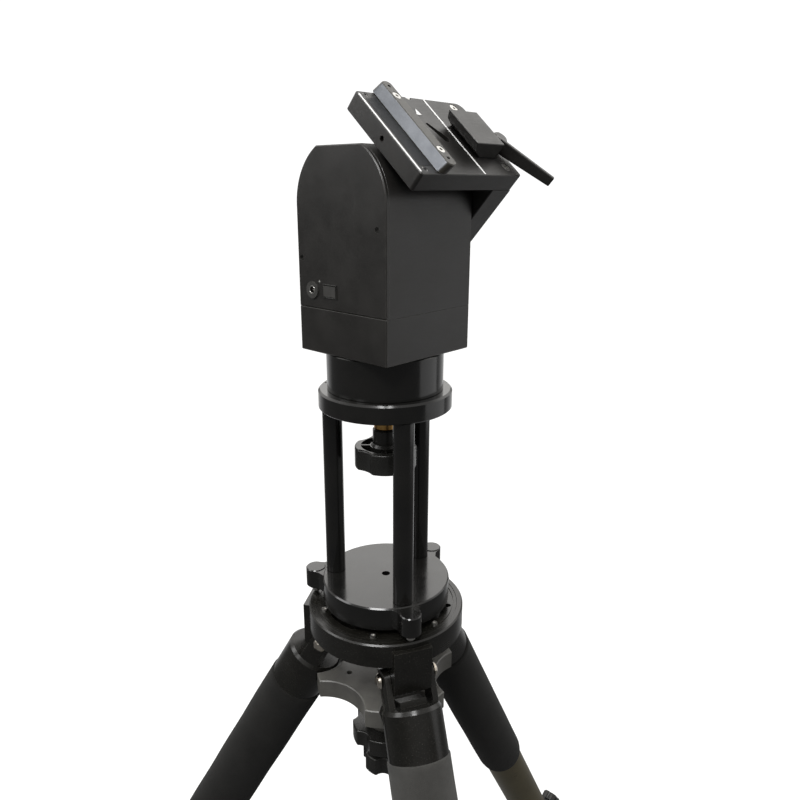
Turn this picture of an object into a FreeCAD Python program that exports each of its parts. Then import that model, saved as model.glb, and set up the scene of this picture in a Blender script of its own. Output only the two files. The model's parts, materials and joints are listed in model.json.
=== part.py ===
import FreeCAD, Part
import math
import os
import re
import Sketcher

# Alt-azimuth mount head with a clamping saddle, on a three-post pier and a folding tripod.
# World frame: +Z up, origin on the azimuth axis at floor level, altitude axis along X,
# plain front of the head towards -Y, socket side towards -X.

os.makedirs("parts", exist_ok=True)
doc = FreeCAD.newDocument("TrackerMount")
Vec = FreeCAD.Vector
Rot = FreeCAD.Rotation

# ---------------------------------------------------------------- driving dimensions (mm, degrees)
SIZES = {
    # heights above the floor
    "pierTop": 1039.0, "pivotDrop": 313.0, "axisRise": 188.0,
    # head
    "headHalf": 62.0, "headFoot": 42.0, "headFlat": 242.0, "headSeam": 87.8, "headHalfWide": 61.8,
    "caseWall": 5.0, "coverThick": 4.0, "coverEdge": 1.0, "seamEdge": 0.4, "baseRadius": 62.0,
    "housingBore": 50.0,
    # drives
    "ringBore": 42.0, "cupRadius": 41.6, "cupWall": 1.2, "shaftRadius": 4.0, "motorRadius": 21.0,
    "altBore": 38.0, "altRing": 30.0, "altCup": 29.6,
    # pier
    "ringRadius": 71.7, "ringThick": 20.0, "postRadius": 11.0, "postCircle": 60.0, "postLength": 206.6,
    "spigotRadius": 5.0, "spigotDepth": 10.0, "padRadius": 73.0, "padThick": 28.0, "padEdge": 1.4,
    "earRadius": 11.5, "earCircle": 85.0, "earLift": 3.5, "earEdge": 1.0, "earScrew": 4.95, "standOff": 5.4,
    "rodRadius": 4.75,
    # pier lock
    "studRadius": 7.95, "neckRadius": 14.0, "lockRadius": 34.0, "lockThick": 24.0, "lockRise": 90.5,
    "dishRadius": 27.0, "dishDepth": 8.0, "collarRadius": 12.5, "collarHigh": 26.2,
    # tripod head
    "hubRadius": 90.0, "hubThick": 29.0, "hubWeb": 8.0, "recessRadius": 83.2, "recessDepth": 8.0,
    "discRadius": 82.8, "discThick": 7.4, "lugHalf": 21.5, "lugFace": 95.0, "lugRoot": 84.0, "lugTop": 7.0,
    "pivotCircle": 73.0,
    "pinRadius": 5.0, "runGap": 0.05,
    # spreader
    "starRadius": 84.0, "starThick": 22.0, "starTop": 350.0, "scallopRadius": 50.0, "scallopCircle": 110.0,
    "pocketRadius": 36.0, "bossHeight": 59.0, "nutRadius": 42.0, "nutThick": 22.0,
    "knobRadius": 30.0, "knobThick": 39.0, "gripThick": 24.0, "knobEdge": 2.2, "starEdge": 1.0,
    # legs, measured along each leg from its pivot
    "legSpread": 29.0, "earInner": 22.0, "earOuter": 31.0, "earTop": 13.0, "yokeShoulder": 31.0,
    "yokeRadius": 33.5, "yokeEnd": 84.0, "tubeRadius": 30.0, "tubeWall": 1.7, "tubeStart": 40.0,
    "tubeEnd": 722.0, "gripRadius": 35.4, "gripStart": 84.3, "gripEnd": 420.0, "clampRadius": 35.0,
    "clampStart": 710.0, "clampEnd": 767.0, "lowerRadius": 26.3, "lowerWall": 1.7, "lowerStart": 352.0,
    "lowerEnd": 808.0, "footStart": 786.0, "footRadius": 30.0, "clampKnob": 16.0, "knobDrop": 740.0,
    # saddle, in its own frame: across along the altitude axis, along the plate, up from the axis
    "restTilt": 41.7, "plateLeft": -55.6, "plateRight": 93.3, "plateBack": 52.0, "plateFront": -54.6,
    "plateLow": 66.9, "plateHigh": 85.5, "plateEdge": 0.7, "armInner": 63.3, "plateCorner": 3.0,
    "farCorner": 9.0, "barLow": -33.6, "barHeight": 10.7, "barInner": -16.0, "barRidge": -27.9,
    "barStart": -55.0, "barLong": 111.0, "barCorner": 5.0, "jawTop": 102.0, "jawFoot": 46.0,
    "jawLip": 29.5, "jawBack": 72.0, "jawStart": -31.0, "jawLong": 47.0, "jawEdge": 0.6,
    "leverReach": 66.0, "leverHub": 8.0, "leverThick": 5.0, "leverTop": 100.0, "leverTipLow": 90.2,
}

sheet = doc.addObject("Spreadsheet::Sheet", "Sizes")
for row, (alias, number) in enumerate(SIZES.items(), start=1):
    sheet.set("A%d" % row, alias)
    sheet.set("B%d" % row, "%g" % number)
    sheet.setAlias("B%d" % row, alias)
doc.recompute()


def size(alias):
    """The number that a named cell of the sheet holds."""
    return float(sheet.get(alias))


def cells(formula):
    """A formula in cell names, written the way FreeCAD's expressions refer to the sheet."""
    return re.sub(r"[A-Za-z]+", lambda word: "Sizes." + word.group(0), formula)


def bind(thing, prop, formula):
    """Bind a size to the sheet; a bare number stays a number."""
    if isinstance(formula, str):
        thing.setExpression(prop, cells(formula))
    else:
        setattr(thing, prop, formula)


def amount(formula):
    """The value now of a formula in cell names, or of a bare number."""
    if not isinstance(formula, str):
        return float(formula)
    worked = re.sub(r"[A-Za-z]+", lambda word: repr(size(word.group(0))), formula)
    total = 0.0
    for sign, number in re.findall(r"([+-]*)\s*([\d.]+)", worked.replace(" ", "")):
        total += -float(number) if sign in ("-", "+-") else float(number)
    return total


# ---------------------------------------------------------------- where things go
TOP = size("pierTop")
AXIS_Z = TOP + size("axisRise")
PIVOT_Z = TOP - size("pivotDrop")
LEGS = (242.0, 2.0, 122.0)            # directions of posts, ears and legs, from +X
BETWEEN = tuple(angle + 60.0 for angle in LEGS)
UP = Vec(0, 0, 1)


def at(across=0.0, along=0.0, up=0.0):
    return FreeCAD.Placement(Vec(across, along, up), Rot())


def turned(angle, place=None):
    """A placement turned about the azimuth axis."""
    spin = FreeCAD.Placement(Vec(), Rot(UP, angle))
    return spin.multiply(place or at())


def legFrame(angle):
    """Frame of one leg: origin at its pivot, z down the leg, y along the pin, x outwards."""
    spread = size("legSpread")
    lean = Rot(Vec(0, 1, 0), -spread).multiply(Rot(Vec(1, 0, 0), 180))
    return turned(angle, FreeCAD.Placement(Vec(size("pivotCircle"), 0, PIVOT_Z), lean))


def saddleFrame():
    """Frame of the saddle: x along the altitude axis, y towards the plate's back, z out of the plate."""
    return FreeCAD.Placement(Vec(0, 0, AXIS_Z), Rot(Vec(1, 0, 0), size("restTilt")))


SADDLE = saddleFrame()
SIDEWAYS = FreeCAD.Placement(Vec(0, 0, AXIS_Z), Rot(Vec(0, 1, 0), 90))      # z turned to +X
FACE_LEFT = FreeCAD.Placement(Vec(), Rot(Vec(0, 1, 0), -90))                # z turned to -X
PAD_TOP = TOP - size("ringThick") - size("postLength")
HUB_TOP = PAD_TOP - size("padThick") - size("standOff")
HUB_SCREWS = [angle + side for angle in LEGS for side in (-29.0, 29.0)]
SOCKET_AT = (40.6, 105.7)             # along Y and above the pier top, on the side cover
LAMP_AT = (30.2, 114.6)
SWITCH_AT = (14.8, 106.2)
COVER_SCREWS = [(-50.5, 167.8), (56.0, 136.5)]
CHIPS = [(-18, 108, 14, 14), (6, 112, 20, 20), (-12, 136, 24, 12), (24, 138, 10, 18)]
# saddle: across, along and radius, in the saddle's own frame
DECK_SCREWS = [(-46, -48, 2.6), (-46, 48, 2.6), (76.5, 44, 5.0), (78.8, -42.5, 5.0)]
SLOT_ENDS = [(9.5, 13.0, 2.2), (19.0, -6.0, 4.6)]
BAR_SCREWS = [(-21.8, 36, 4.3), (-21.8, -34.5, 4.3)]
BAR_PIN_HOLES = [(-22, 48.5), (-22, -46)]
LEVER_AT = (85.0, -15.0)
LEVER_SWING = -58.5                   # where the lever lies at rest, from across


# ---------------------------------------------------------------- primitives and booleans
def cylinder(name, radius, height, place):
    thing = doc.addObject("Part::Cylinder", name)
    bind(thing, "Radius", radius)
    bind(thing, "Height", height)
    thing.Placement = place
    return thing


def cone(name, low, high, height, place):
    thing = doc.addObject("Part::Cone", name)
    bind(thing, "Radius1", low)
    bind(thing, "Radius2", high)
    bind(thing, "Height", height)
    thing.Placement = place
    return thing


def box(name, length, width, height, place):
    """A block centred on its placement in x and y, rising from it in z."""
    thing = doc.addObject("Part::Box", name)
    bind(thing, "Length", length)
    bind(thing, "Width", width)
    bind(thing, "Height", height)
    shift = at(-amount(length) / 2, -amount(width) / 2)
    thing.Placement = place.multiply(shift)
    return thing


def joined(name, things):
    whole = doc.addObject("Part::MultiFuse", name)
    whole.Shapes = things
    return whole


def cutAway(name, base, tools):
    tool = tools[0] if len(tools) == 1 else joined(name + "Tools", tools)
    left = doc.addObject("Part::Cut", name)
    left.Base = base
    left.Tool = tool
    return left


def shared(name, things):
    both = doc.addObject("Part::MultiCommon", name)
    both.Shapes = things
    return both


def group(name, things):
    """Separate solids kept in one object, for identical fasteners."""
    pack = doc.addObject("Part::Compound", name)
    pack.Links = things
    return pack


# ---------------------------------------------------------------- sketched bodies
def plane(body, role):
    return next(item for item in body.Origin.OriginFeatures if item.Role == role)


def newSketch(body, role, name):
    sketch = body.newObject("Sketcher::SketchObject", name)
    sketch.AttachmentSupport = [(plane(body, role), "")]
    sketch.MapMode = "FlatFace"
    return sketch


def fix(sketch, kind, geometry, name, formula):
    """Fix one coordinate of a line's start, by an axis where it is nil and by the sheet elsewhere."""
    number = amount(formula)
    if abs(number) < 1e-9:
        axis = -2 if kind == "DistanceX" else -1
        sketch.addConstraint(Sketcher.Constraint("PointOnObject", geometry, 1, axis))
        return
    index = sketch.addConstraint(Sketcher.Constraint(kind, -1, 1, geometry, 1, number))
    sketch.renameConstraint(index, name)
    if isinstance(formula, str):
        sketch.setExpression("Constraints." + name, cells(formula))


def outline(sketch, points):
    """A closed outline of straight lines whose corners are bound to the sheet."""
    corners = [Vec(amount(across), amount(up), 0) for across, up in points]
    count = len(corners)
    for index in range(count):
        sketch.addGeometry(Part.LineSegment(corners[index], corners[(index + 1) % count]), False)
    for index in range(count):
        sketch.addConstraint(Sketcher.Constraint("Coincident", index, 2, (index + 1) % count, 1))
    for index, (across, up) in enumerate(points):
        fix(sketch, "DistanceX", index, "across%s" % letters(index), across)
        fix(sketch, "DistanceY", index, "up%s" % letters(index), up)


def letters(index):
    return chr(ord("A") + index)


def revolved(name, points, place):
    """A turned piece: outline in radius and height, spun about z."""
    body = doc.addObject("PartDesign::Body", name)
    sketch = newSketch(body, "XZ_Plane", name + "Profile")
    outline(sketch, points)
    turn = body.newObject("PartDesign::Revolution", name + "Turn")
    turn.Profile = sketch
    turn.ReferenceAxis = (sketch, ["V_Axis"])
    turn.Angle = 360.0
    sketch.Visibility = False
    body.Placement = place
    return body


def extruded(name, role, points, start, thick, place):
    """A piece of constant section: outline on an origin plane, padded from a start height."""
    body = doc.addObject("PartDesign::Body", name)
    sketch = newSketch(body, role, name + "Profile")
    sketch.AttachmentOffset = at(0, 0, start)
    outline(sketch, points)
    pad = body.newObject("PartDesign::Pad", name + "Pad")
    pad.Profile = sketch
    bind(pad, "Length", thick)
    sketch.Visibility = False
    body.Placement = place
    return body


def rings(name, radius, height, circle, angles, low):
    """Upright cylinders on a circle, one at each angle."""
    return [cylinder("%s%d" % (name, number), radius, height, turned(angle, at(circle, 0, low)))
            for number, angle in enumerate(angles, start=1)]


def lobedHead(name, radius, thick, low, lobes, biteRadius, biteCircle):
    """A hand knob's head: a disc with a concave bite between each pair of lobes."""
    disc = cylinder(name + "Disc", radius, thick, at(0, 0, low))
    angles = [360.0 * step / lobes for step in range(lobes)]
    bites = rings(name + "Bite", biteRadius, amount(thick) + 2, biteCircle, angles, low - 1)
    return eased(name, cutAway(name + "Sharp", disc, bites), size("knobEdge"), rounded=True)


def eased(name, base, width, wanted=None, rounded=False):
    """A piece with its sharp edges broken; wanted picks the edges, all of them if left out."""
    doc.recompute()
    edges = []
    for number, edge in enumerate(base.Shape.Edges, start=1):
        if wanted is None or wanted(edge):
            edges.append((number, width, width))
    piece = doc.addObject("Part::Fillet" if rounded else "Part::Chamfer", name)
    piece.Base = base
    piece.Edges = edges
    return piece


def flatAt(place, height, close=0.01):
    """Picks the edges that lie wholly at one height of a placement's own frame."""
    back = place.inverse()

    def wanted(edge):
        return all(abs(back.multVec(point).z - height) < close for point in edge.discretize(5))

    return wanted


def uprightAt(place, across=None, along=None):
    """Picks the edges that climb a placement's z, all of them or those at one spot."""
    back = place.inverse()

    def wanted(edge):
        ends = [back.multVec(vertex.Point) for vertex in edge.Vertexes]
        if len(ends) < 2 or abs(ends[0].z - ends[1].z) < 5 or edge.Curve.TypeId != "Part::GeomLine":
            return False
        here = across is None or abs(ends[0].x - across) + abs(ends[0].y - along) < 0.1
        return here and abs(ends[0].y - ends[1].y) < 0.1

    return wanted


def levelEdges(place):
    """Picks the edges that keep one height of a placement's own frame."""
    back = place.inverse()

    def wanted(edge):
        heights = [back.multVec(point).z for point in edge.discretize(5)]
        return max(heights) - min(heights) < 0.01

    return wanted


PARTS = []


def node(name, thing):
    """Name a finished piece after its node and keep it for the export."""
    thing.Label = name
    PARTS.append(thing)
    return thing


# ---------------------------------------------------------------- tripod head
def makeHub():
    """Drum casting: rim, web with a recess on top, hollow below, and a lug for each leg."""
    drum = revolved("HubDrumTurning", [
        (6.5, "-hubWeb"), ("recessRadius", "-recessDepth"), ("recessRadius", 0), ("hubRadius-1.5", 0),
        ("hubRadius", -1.5), ("hubRadius", "-hubThick+1.5"), ("hubRadius-1.5", "-hubThick"),
        (80, "-hubThick"), (80, -16), (22, -16), (22, "-hubThick"), (6.5, "-hubThick"),
    ], at(0, 0, HUB_TOP))
    lugs = []
    pins = []
    for number, angle in enumerate(LEGS, start=1):
        rise = PIVOT_Z - HUB_TOP
        side = extruded("HubLug%d" % number, "XZ_Plane", [
            ("lugRoot", "-lugTop"), ("lugFace", "-lugTop"), ("lugFace", rise - 5), (85, rise - 15),
            (61, rise - 15), (50, rise + 8), (50, -14), ("lugRoot", -14),
        ], -size("lugHalf"), "lugHalf+lugHalf", turned(angle, at(0, 0, HUB_TOP)))
        lugs.append(side)
        across = FreeCAD.Placement(Vec(size("pivotCircle"), 60, PIVOT_Z), Rot(Vec(1, 0, 0), 90))
        pins.append(cylinder("HubPinHole%d" % number, "pinRadius+runGap", 120, turned(angle, across)))
    node("hub_drum", cutAway("HubDrum", joined("HubCasting", [drum] + lugs), pins))

    disc = revolved("HubDiscTurning", [
        (6.5, 0), ("discRadius", 0), ("discRadius", "discThick"), (79.2, "discThick"),
        (79.2, "discThick-1.2"), (78, "discThick-1.2"), (78, "discThick"), (6.5, "discThick"),
    ], at(0, 0, HUB_TOP - size("recessDepth")))
    slots = []
    for number, angle in enumerate(BETWEEN, start=1):
        outer = cylinder("SlotOuter%d" % number, 70.5, 20, at(0, 0, HUB_TOP - 10))
        inner = cylinder("SlotInner%d" % number, 64.5, 20, at(0, 0, HUB_TOP - 10))
        ring = cutAway("SlotRing%d" % number, outer, [inner])
        wedge = box("SlotWedge%d" % number, 40, 40, 20, turned(angle - 6, at(72, 0, HUB_TOP - 10)))
        slots.append(shared("Slot%d" % number, [ring, wedge]))
    screwHoles = rings("DiscScrewHole", 1.8, 30, 73.8, HUB_SCREWS, HUB_TOP - 20)
    hole = cylinder("DiscHole", 3.4, 20, turned(-57.4, at(73.5, 0, HUB_TOP - 10)))
    node("hub_disc", cutAway("HubDisc", disc, slots + screwHoles + [hole]))
    deck = HUB_TOP - size("recessDepth") + size("discThick")
    screws = [socketScrew("HubScrew%d" % number, 1.8, 3.2, 2.0, 7.0, turned(angle, at(73.8, 0, deck)))
              for number, angle in enumerate(HUB_SCREWS, start=1)]
    node("hub_screws", group("HubScrews", screws))


def makeLegPins():
    """Domed bolts that the legs hinge on, one solid each."""
    bolts = []
    for number, angle in enumerate(LEGS, start=1):
        frame = turned(angle, at(size("pivotCircle"), 0, PIVOT_Z))
        turn = frame.multiply(FreeCAD.Placement(Vec(), Rot(Vec(1, 0, 0), 90)))
        half = size("earOuter") + 0.3
        bolts.append(revolved("LegPin%d" % number, [
            (0, -half - 5), (4, -half - 4.4), (7, -half - 2.6), (8.5, -half), ("pinRadius", -half),
            ("pinRadius", half), (8.5, half), (7, half + 2.6), (4, half + 4.4), (0, half + 5),
        ], turn))
    node("leg_pins", group("LegPins", bolts))


# ---------------------------------------------------------------- pier
def socketScrew(name, radius, headRadius, headHigh, length, place):
    """Cap screw standing on its shank, with a hex socket in its head."""
    shank = cylinder(name + "Shank", radius, length, place.multiply(at(0, 0, -length)))
    head = cylinder(name + "Head", headRadius, headHigh, place)
    key = doc.addObject("Part::Prism", name + "Key")
    key.Polygon = 6
    key.Circumradius = radius
    key.Height = headHigh
    key.Placement = place.multiply(at(0, 0, headHigh * 0.45))
    return cutAway(name, joined(name + "Blank", [shank, head]), [key])


def makePier():
    """Base pad with three ears, three posts, and the ring that carries the head."""
    low = PAD_TOP - size("padThick")
    pad = revolved("PadTurning", [
        ("rodRadius+runGap", 0), ("padRadius-2", 0), ("padRadius", 2), ("padRadius", "padThick-padEdge"),
        ("padRadius-padEdge", "padThick"), ("rodRadius+runGap", "padThick"),
    ], at(0, 0, low))
    ears = []
    holes = []
    for number, angle in enumerate(LEGS, start=1):
        frame = turned(angle, at(0, 0, low))
        middle = at(size("earCircle"), 0, size("earLift"))
        ears.append(cone("EarFoot%d" % number, "earRadius-2", "earRadius", 2, frame.multiply(middle)))
        ears.append(cylinder("Ear%d" % number, "earRadius", "padThick-earLift-earEdge-2",
                             frame.multiply(middle.multiply(at(0, 0, 2)))))
        ears.append(cone("EarTop%d" % number, "earRadius", "earRadius-earEdge", "earEdge",
                         frame.multiply(at(size("earCircle"), 0, size("padThick") - size("earEdge")))))
        ears.append(extruded("EarWeb%d" % number, "XY_Plane", [
            (58, -27), (72, -16.5), (78, -12.4), ("earCircle", "-earRadius"), ("earCircle", "earRadius"),
            (78, 12.4), (72, 16.5), (58, 27),
        ], size("earLift") + 2, "padThick-earLift-earEdge-2", frame))
        holes.append(cylinder("EarHole%d" % number, "earScrew+runGap", "padThick-4",
                              frame.multiply(at(size("earCircle"), 0, -1))))
    holes += rings("PadPostHole", "spigotRadius", "spigotDepth+1", size("postCircle"), LEGS,
                   PAD_TOP - size("spigotDepth"))
    node("pier_base", cutAway("PierBase", joined("PierBaseBlank", [pad] + ears), holes))

    for number, angle in enumerate(LEGS, start=1):
        node("pier_post_%d" % number, revolved("Post%d" % number, [
            (0, "-spigotDepth"), ("spigotRadius", "-spigotDepth"), ("spigotRadius", 0),
            ("postRadius-0.6", 0), ("postRadius", 0.6), ("postRadius", "postLength-0.6"),
            ("postRadius-0.6", "postLength"), ("spigotRadius", "postLength"),
            ("spigotRadius", "postLength+spigotDepth"), (0, "postLength+spigotDepth"),
        ], turned(angle, at(size("postCircle"), 0, PAD_TOP))))

    ring = revolved("RingTurning", [
        ("studRadius+runGap", "-ringThick"), ("ringRadius-1", "-ringThick"), ("ringRadius", "-ringThick+1"),
        ("ringRadius", -2), ("ringRadius-2", 0), ("studRadius+runGap", 0),
    ], at(0, 0, TOP))
    sockets = rings("RingPostHole", "spigotRadius", "spigotDepth+1", size("postCircle"), LEGS,
                    TOP - size("ringThick") - 1)
    sockets.append(cylinder("RingTopHole", 1.4, 7, turned(120.0, at(67, 0, TOP - 6))))
    node("pier_ring", cutAway("PierRing", ring, sockets))

    for number, angle in enumerate(LEGS, start=1):
        pinHigh = size("standOff") + size("padThick") - 5.5
        screw = revolved("LevelScrew%d" % number, [
            (0, 0), (2.2, 0), ("earScrew", 3.2), ("earScrew", pinHigh - 1), ("earScrew-1", pinHigh),
            (0, pinHigh),
        ], turned(angle, at(size("earCircle"), 0, HUB_TOP + 0.1)))
        node("levelling_screw_%d" % number, screw)


def makeLock():
    """Hand knob under the ring that holds the head down, with its brass washer."""
    node("lock_collar", revolved("LockCollar", [
        ("studRadius+runGap", "-collarHigh"), ("collarRadius-0.8", "-collarHigh"),
        ("collarRadius", "-collarHigh+0.8"), ("collarRadius", 0), ("studRadius+runGap", 0),
    ], at(0, 0, TOP - size("ringThick"))))
    stem = revolved("LockStem", [
        (0, 0), ("neckRadius+2", 0), ("neckRadius", 3), ("neckRadius", 18.5), ("neckRadius-1.5", 20),
        ("studRadius", 20), ("studRadius", 76), ("studRadius-1", 77), (0, 77),
    ], at(0, 0, TOP - 66.5))
    low = TOP - size("lockRise")
    head = lobedHead("LockHead", "lockRadius", "lockThick", low, 4, 25, 55)
    floor = low + size("lockThick") - size("dishDepth")
    dish = cylinder("LockDish", "dishRadius", 12, at(0, 0, floor))
    core = cylinder("LockDishCore", "neckRadius+3", 12, at(0, 0, floor))
    ribs = [box("LockRib%d" % number, "dishRadius+dishRadius", 2.5, 12, turned(angle, at(0, 0, floor)))
            for number, angle in enumerate((45.0, 135.0), start=1)]
    hollow = cutAway("LockHollow", dish, [core] + ribs)
    node("lock_knob", joined("LockKnob", [stem, cutAway("LockHeadCut", head, [hollow])]))


# ---------------------------------------------------------------- spreader and centre rod
def makeSpreader():
    low = TOP - size("starTop") - size("starThick")
    star = cylinder("StarDisc", "starRadius", "starThick", at(0, 0, low))
    boss = cone("StarBoss", 24, 35, "bossHeight", at(0, 0, low - size("bossHeight")))
    cuts = rings("Scallop", "scallopRadius", "starThick+2", size("scallopCircle"), BETWEEN, low - 1)
    for number, angle in enumerate(LEGS, start=1):
        cuts.append(cylinder("StarPocket%d" % number, "pocketRadius", 260, legFrame(angle)))
    shape = cutAway("StarShaped", joined("StarBlank", [star, boss]), cuts)
    solid = eased("StarEased", shape, size("starEdge"), flatAt(at(), low + size("starThick")))
    holes = rings("StarHole", 3.4, 40, 47, [angle + 33 for angle in LEGS], low - 5)
    holes.append(cylinder("StarBore", 5.4, 120, at(0, 0, low - 70)))
    node("spreader_star", cutAway("SpreaderStar", solid, holes))

    nutTop = low - size("bossHeight") - 0.4
    nut = lobedHead("NutHead", "nutRadius", "nutThick", nutTop - size("nutThick"), 6, 14, 50)
    bore = cylinder("NutBore", 5.4, 40, at(0, 0, nutTop - 30))
    node("spreader_nut", cutAway("SpreaderNut", nut, [bore]))

    low = nutTop - size("nutThick") - 3.0 - size("knobThick")
    grip = lobedHead("RodKnobGrip", "knobRadius", "gripThick", low, 5, 11, 35)
    neck = cone("RodKnobNeck", 22, 13, "knobThick-gripThick", at(0, 0, low + size("gripThick")))
    hole = cylinder("RodKnobBore", "rodRadius", 40, at(0, 0, low + 20))
    node("centre_knob", cutAway("CentreKnob", joined("CentreKnobBlank", [grip, neck]), [hole]))
    rodHigh = PAD_TOP - 12.0 - (low + 20)
    node("centre_rod", revolved("CentreRod", [
        (0, 0), ("rodRadius", 0), ("rodRadius", rodHigh - 1), ("rodRadius-1", rodHigh), (0, rodHigh),
    ], at(0, 0, low + 20)))


# ---------------------------------------------------------------- legs
def makeYoke(number, frame):
    """Fork that straddles the lug: two rounded ears on a shoulder, and the socket for the tube."""
    bar = cylinder("YokeBar%d" % number, "earOuter", 60, frame.multiply(at(0, 0, -20)))
    blades = []
    for side in (-1, 1):
        middle = side * (size("earInner") + size("earOuter") + 1) / 2
        turn = FreeCAD.Placement(Vec(0, middle + 5, 0), Rot(Vec(1, 0, 0), 90))
        tag = "%d%s" % (number, "A" if side < 0 else "B")
        blades.append(box("YokeBlade" + tag, "earTop+earTop", 10, 44, frame.multiply(at(0, middle, 0))))
        blades.append(cylinder("YokeRound" + tag, "earTop", 10, frame.multiply(turn)))
    ears = shared("YokeEars%d" % number, [bar, joined("YokeBlades%d" % number, blades)])
    shoulder = cone("YokeShoulder%d" % number, "yokeRadius-2.5", "yokeRadius", 4,
                    frame.multiply(at(0, 0, size("yokeShoulder"))))
    sleeve = cylinder("YokeSleeve%d" % number, "yokeRadius", "yokeEnd-yokeShoulder-4",
                      frame.multiply(at(0, 0, size("yokeShoulder") + 4)))
    web = box("YokeWeb%d" % number, 22, 30, 9, frame.multiply(at(0, 0, 24.5)))
    bore = cylinder("YokeBore%d" % number, "tubeRadius", 60, frame.multiply(at(0, 0, size("tubeStart"))))
    across = FreeCAD.Placement(Vec(0, 60, 0), Rot(Vec(1, 0, 0), 90))
    pin = cylinder("YokePinHole%d" % number, "pinRadius+runGap", 120, frame.multiply(across))
    blank = joined("YokeBlank%d" % number, [ears, shoulder, sleeve, web])
    return cutAway("Yoke%d" % number, blank, [bore, pin])


def makeLeg(number, angle):
    frame = legFrame(angle)
    node("leg_yoke_%d" % number, makeYoke(number, frame))
    node("upper_tube_%d" % number, revolved("UpperTube%d" % number, [
        ("tubeRadius-tubeWall", "tubeStart"), ("tubeRadius", "tubeStart"), ("tubeRadius", "tubeEnd"),
        ("tubeRadius-tubeWall", "tubeEnd"),
    ], frame))
    node("foam_grip_%d" % number, revolved("FoamGrip%d" % number, [
        ("tubeRadius", "gripStart"), ("gripRadius-1", "gripStart"), ("gripRadius", "gripStart+1"),
        ("gripRadius", "gripEnd-12"), ("gripRadius-1.2", "gripEnd-5"), ("gripRadius-4", "gripEnd"),
        ("tubeRadius", "gripEnd"),
    ], frame))

    sleeve = revolved("ClampSleeve%d" % number, [
        ("tubeRadius", "clampStart"), ("clampRadius-1.5", "clampStart"),
        ("clampRadius", "clampStart+1.5"), ("clampRadius", "clampEnd-14"), ("lowerRadius+5", "clampEnd"),
        ("lowerRadius+0.4", "clampEnd"), ("lowerRadius+0.4", "tubeEnd"), ("tubeRadius", "tubeEnd"),
    ], frame)
    knobFrame = frame.multiply(FreeCAD.Placement(Vec(size("lowerRadius") + 0.7, 0, size("knobDrop")),
                                                 Rot(Vec(0, 1, 0), 90)))
    boss = cylinder("ClampBoss%d" % number, 9, 14, knobFrame.multiply(at(0, 0, 2)))
    core = cylinder("ClampCore%d" % number, "lowerRadius+0.4", 70,
                    frame.multiply(at(0, 0, size("knobDrop") - 35)))
    bore = cylinder("ClampBore%d" % number, "shaftRadius+runGap", 30, knobFrame.multiply(at(0, 0, -5)))
    blank = joined("ClampBlank%d" % number, [sleeve, cutAway("ClampBossCut%d" % number, boss, [core])])
    node("leg_clamp_%d" % number, cutAway("LegClamp%d" % number, blank, [bore]))

    shank = cylinder("LegKnobShank%d" % number, "shaftRadius", 24, knobFrame)
    disc = cylinder("LegKnobDisc%d" % number, "clampKnob", 13, knobFrame.multiply(at(0, 0, 16.5)))
    bites = [cylinder("LegKnobBite%d_%d" % (number, step), 6, 16,
                      knobFrame.multiply(turned(60.0 * step, at(20, 0, 15)))) for step in range(6)]
    head = cutAway("LegKnobHead%d" % number, disc, bites)
    node("leg_knob_%d" % number, joined("LegKnob%d" % number, [shank, head]))

    node("lower_tube_%d" % number, revolved("LowerTube%d" % number, [
        ("lowerRadius-lowerWall", "lowerStart"), ("lowerRadius", "lowerStart"),
        ("lowerRadius", "lowerEnd"), ("lowerRadius-lowerWall", "lowerEnd"),
    ], frame))
    boot = revolved("FootBoot%d" % number, [
        ("lowerRadius", "footStart"), ("footRadius-2", "footStart"), ("footRadius", "footStart+3"),
        ("footRadius", "footStart+80"), (0, "footStart+80"), (0, "lowerEnd"), ("lowerRadius", "lowerEnd"),
    ], frame)
    floor = box("FootFloor%d" % number, 300, 300, 100, turned(angle, at(470, 0, -100)))
    node("rubber_foot_%d" % number, cutAway("RubberFoot%d" % number, boot, [floor]))


# ---------------------------------------------------------------- head on its base
def makeBase():
    node("base_housing", revolved("BaseHousing", [
        ("studRadius+runGap", 0), ("baseRadius-0.6", 0), ("baseRadius", 0.6),
        ("baseRadius", "headFoot-1.3"), ("baseRadius-1", "headFoot-0.3"), ("housingBore", "headFoot-0.3"),
        ("housingBore", 9), ("studRadius+8", 9), ("studRadius+8", 14), ("studRadius+runGap", 14),
    ], at(0, 0, TOP)))
    node("azimuth_ring_gear", revolved("AzimuthRing", [
        ("ringBore", 24), ("housingBore", 24), ("housingBore", 36), ("ringBore", 36),
    ], at(0, 0, TOP)))
    node("azimuth_flex_cup", revolved("AzimuthCup", [
        ("cupRadius-cupWall", 22), ("cupRadius", 22), ("cupRadius", "headFoot"), (9, "headFoot"),
        (9, 37.5), ("cupRadius-cupWall", 37.5),
    ], at(0, 0, TOP)))
    node("azimuth_wave_plug", wavePlug("AzimuthWave", 39.6, 38.4, 24, 11, 62, at(0, 0, TOP)))


def wavePlug(name, longHalf, shortHalf, low, thick, shaftTop, place):
    """Elliptical plug on its motor shaft; the shaft runs from the plug's low face to shaftTop."""
    oval = doc.addObject("Part::Ellipse", name + "Oval")
    oval.MajorRadius = longHalf
    oval.MinorRadius = shortHalf
    plug = doc.addObject("Part::Extrusion", name + "Plug")
    plug.Base = oval
    plug.Dir = Vec(0, 0, thick)
    plug.Solid = True
    plug.Placement = place.multiply(at(0, 0, low))
    shaft = cylinder(name + "Shaft", "shaftRadius", shaftTop - low, place.multiply(at(0, 0, low)))
    return joined(name, [plug, shaft])


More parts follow.
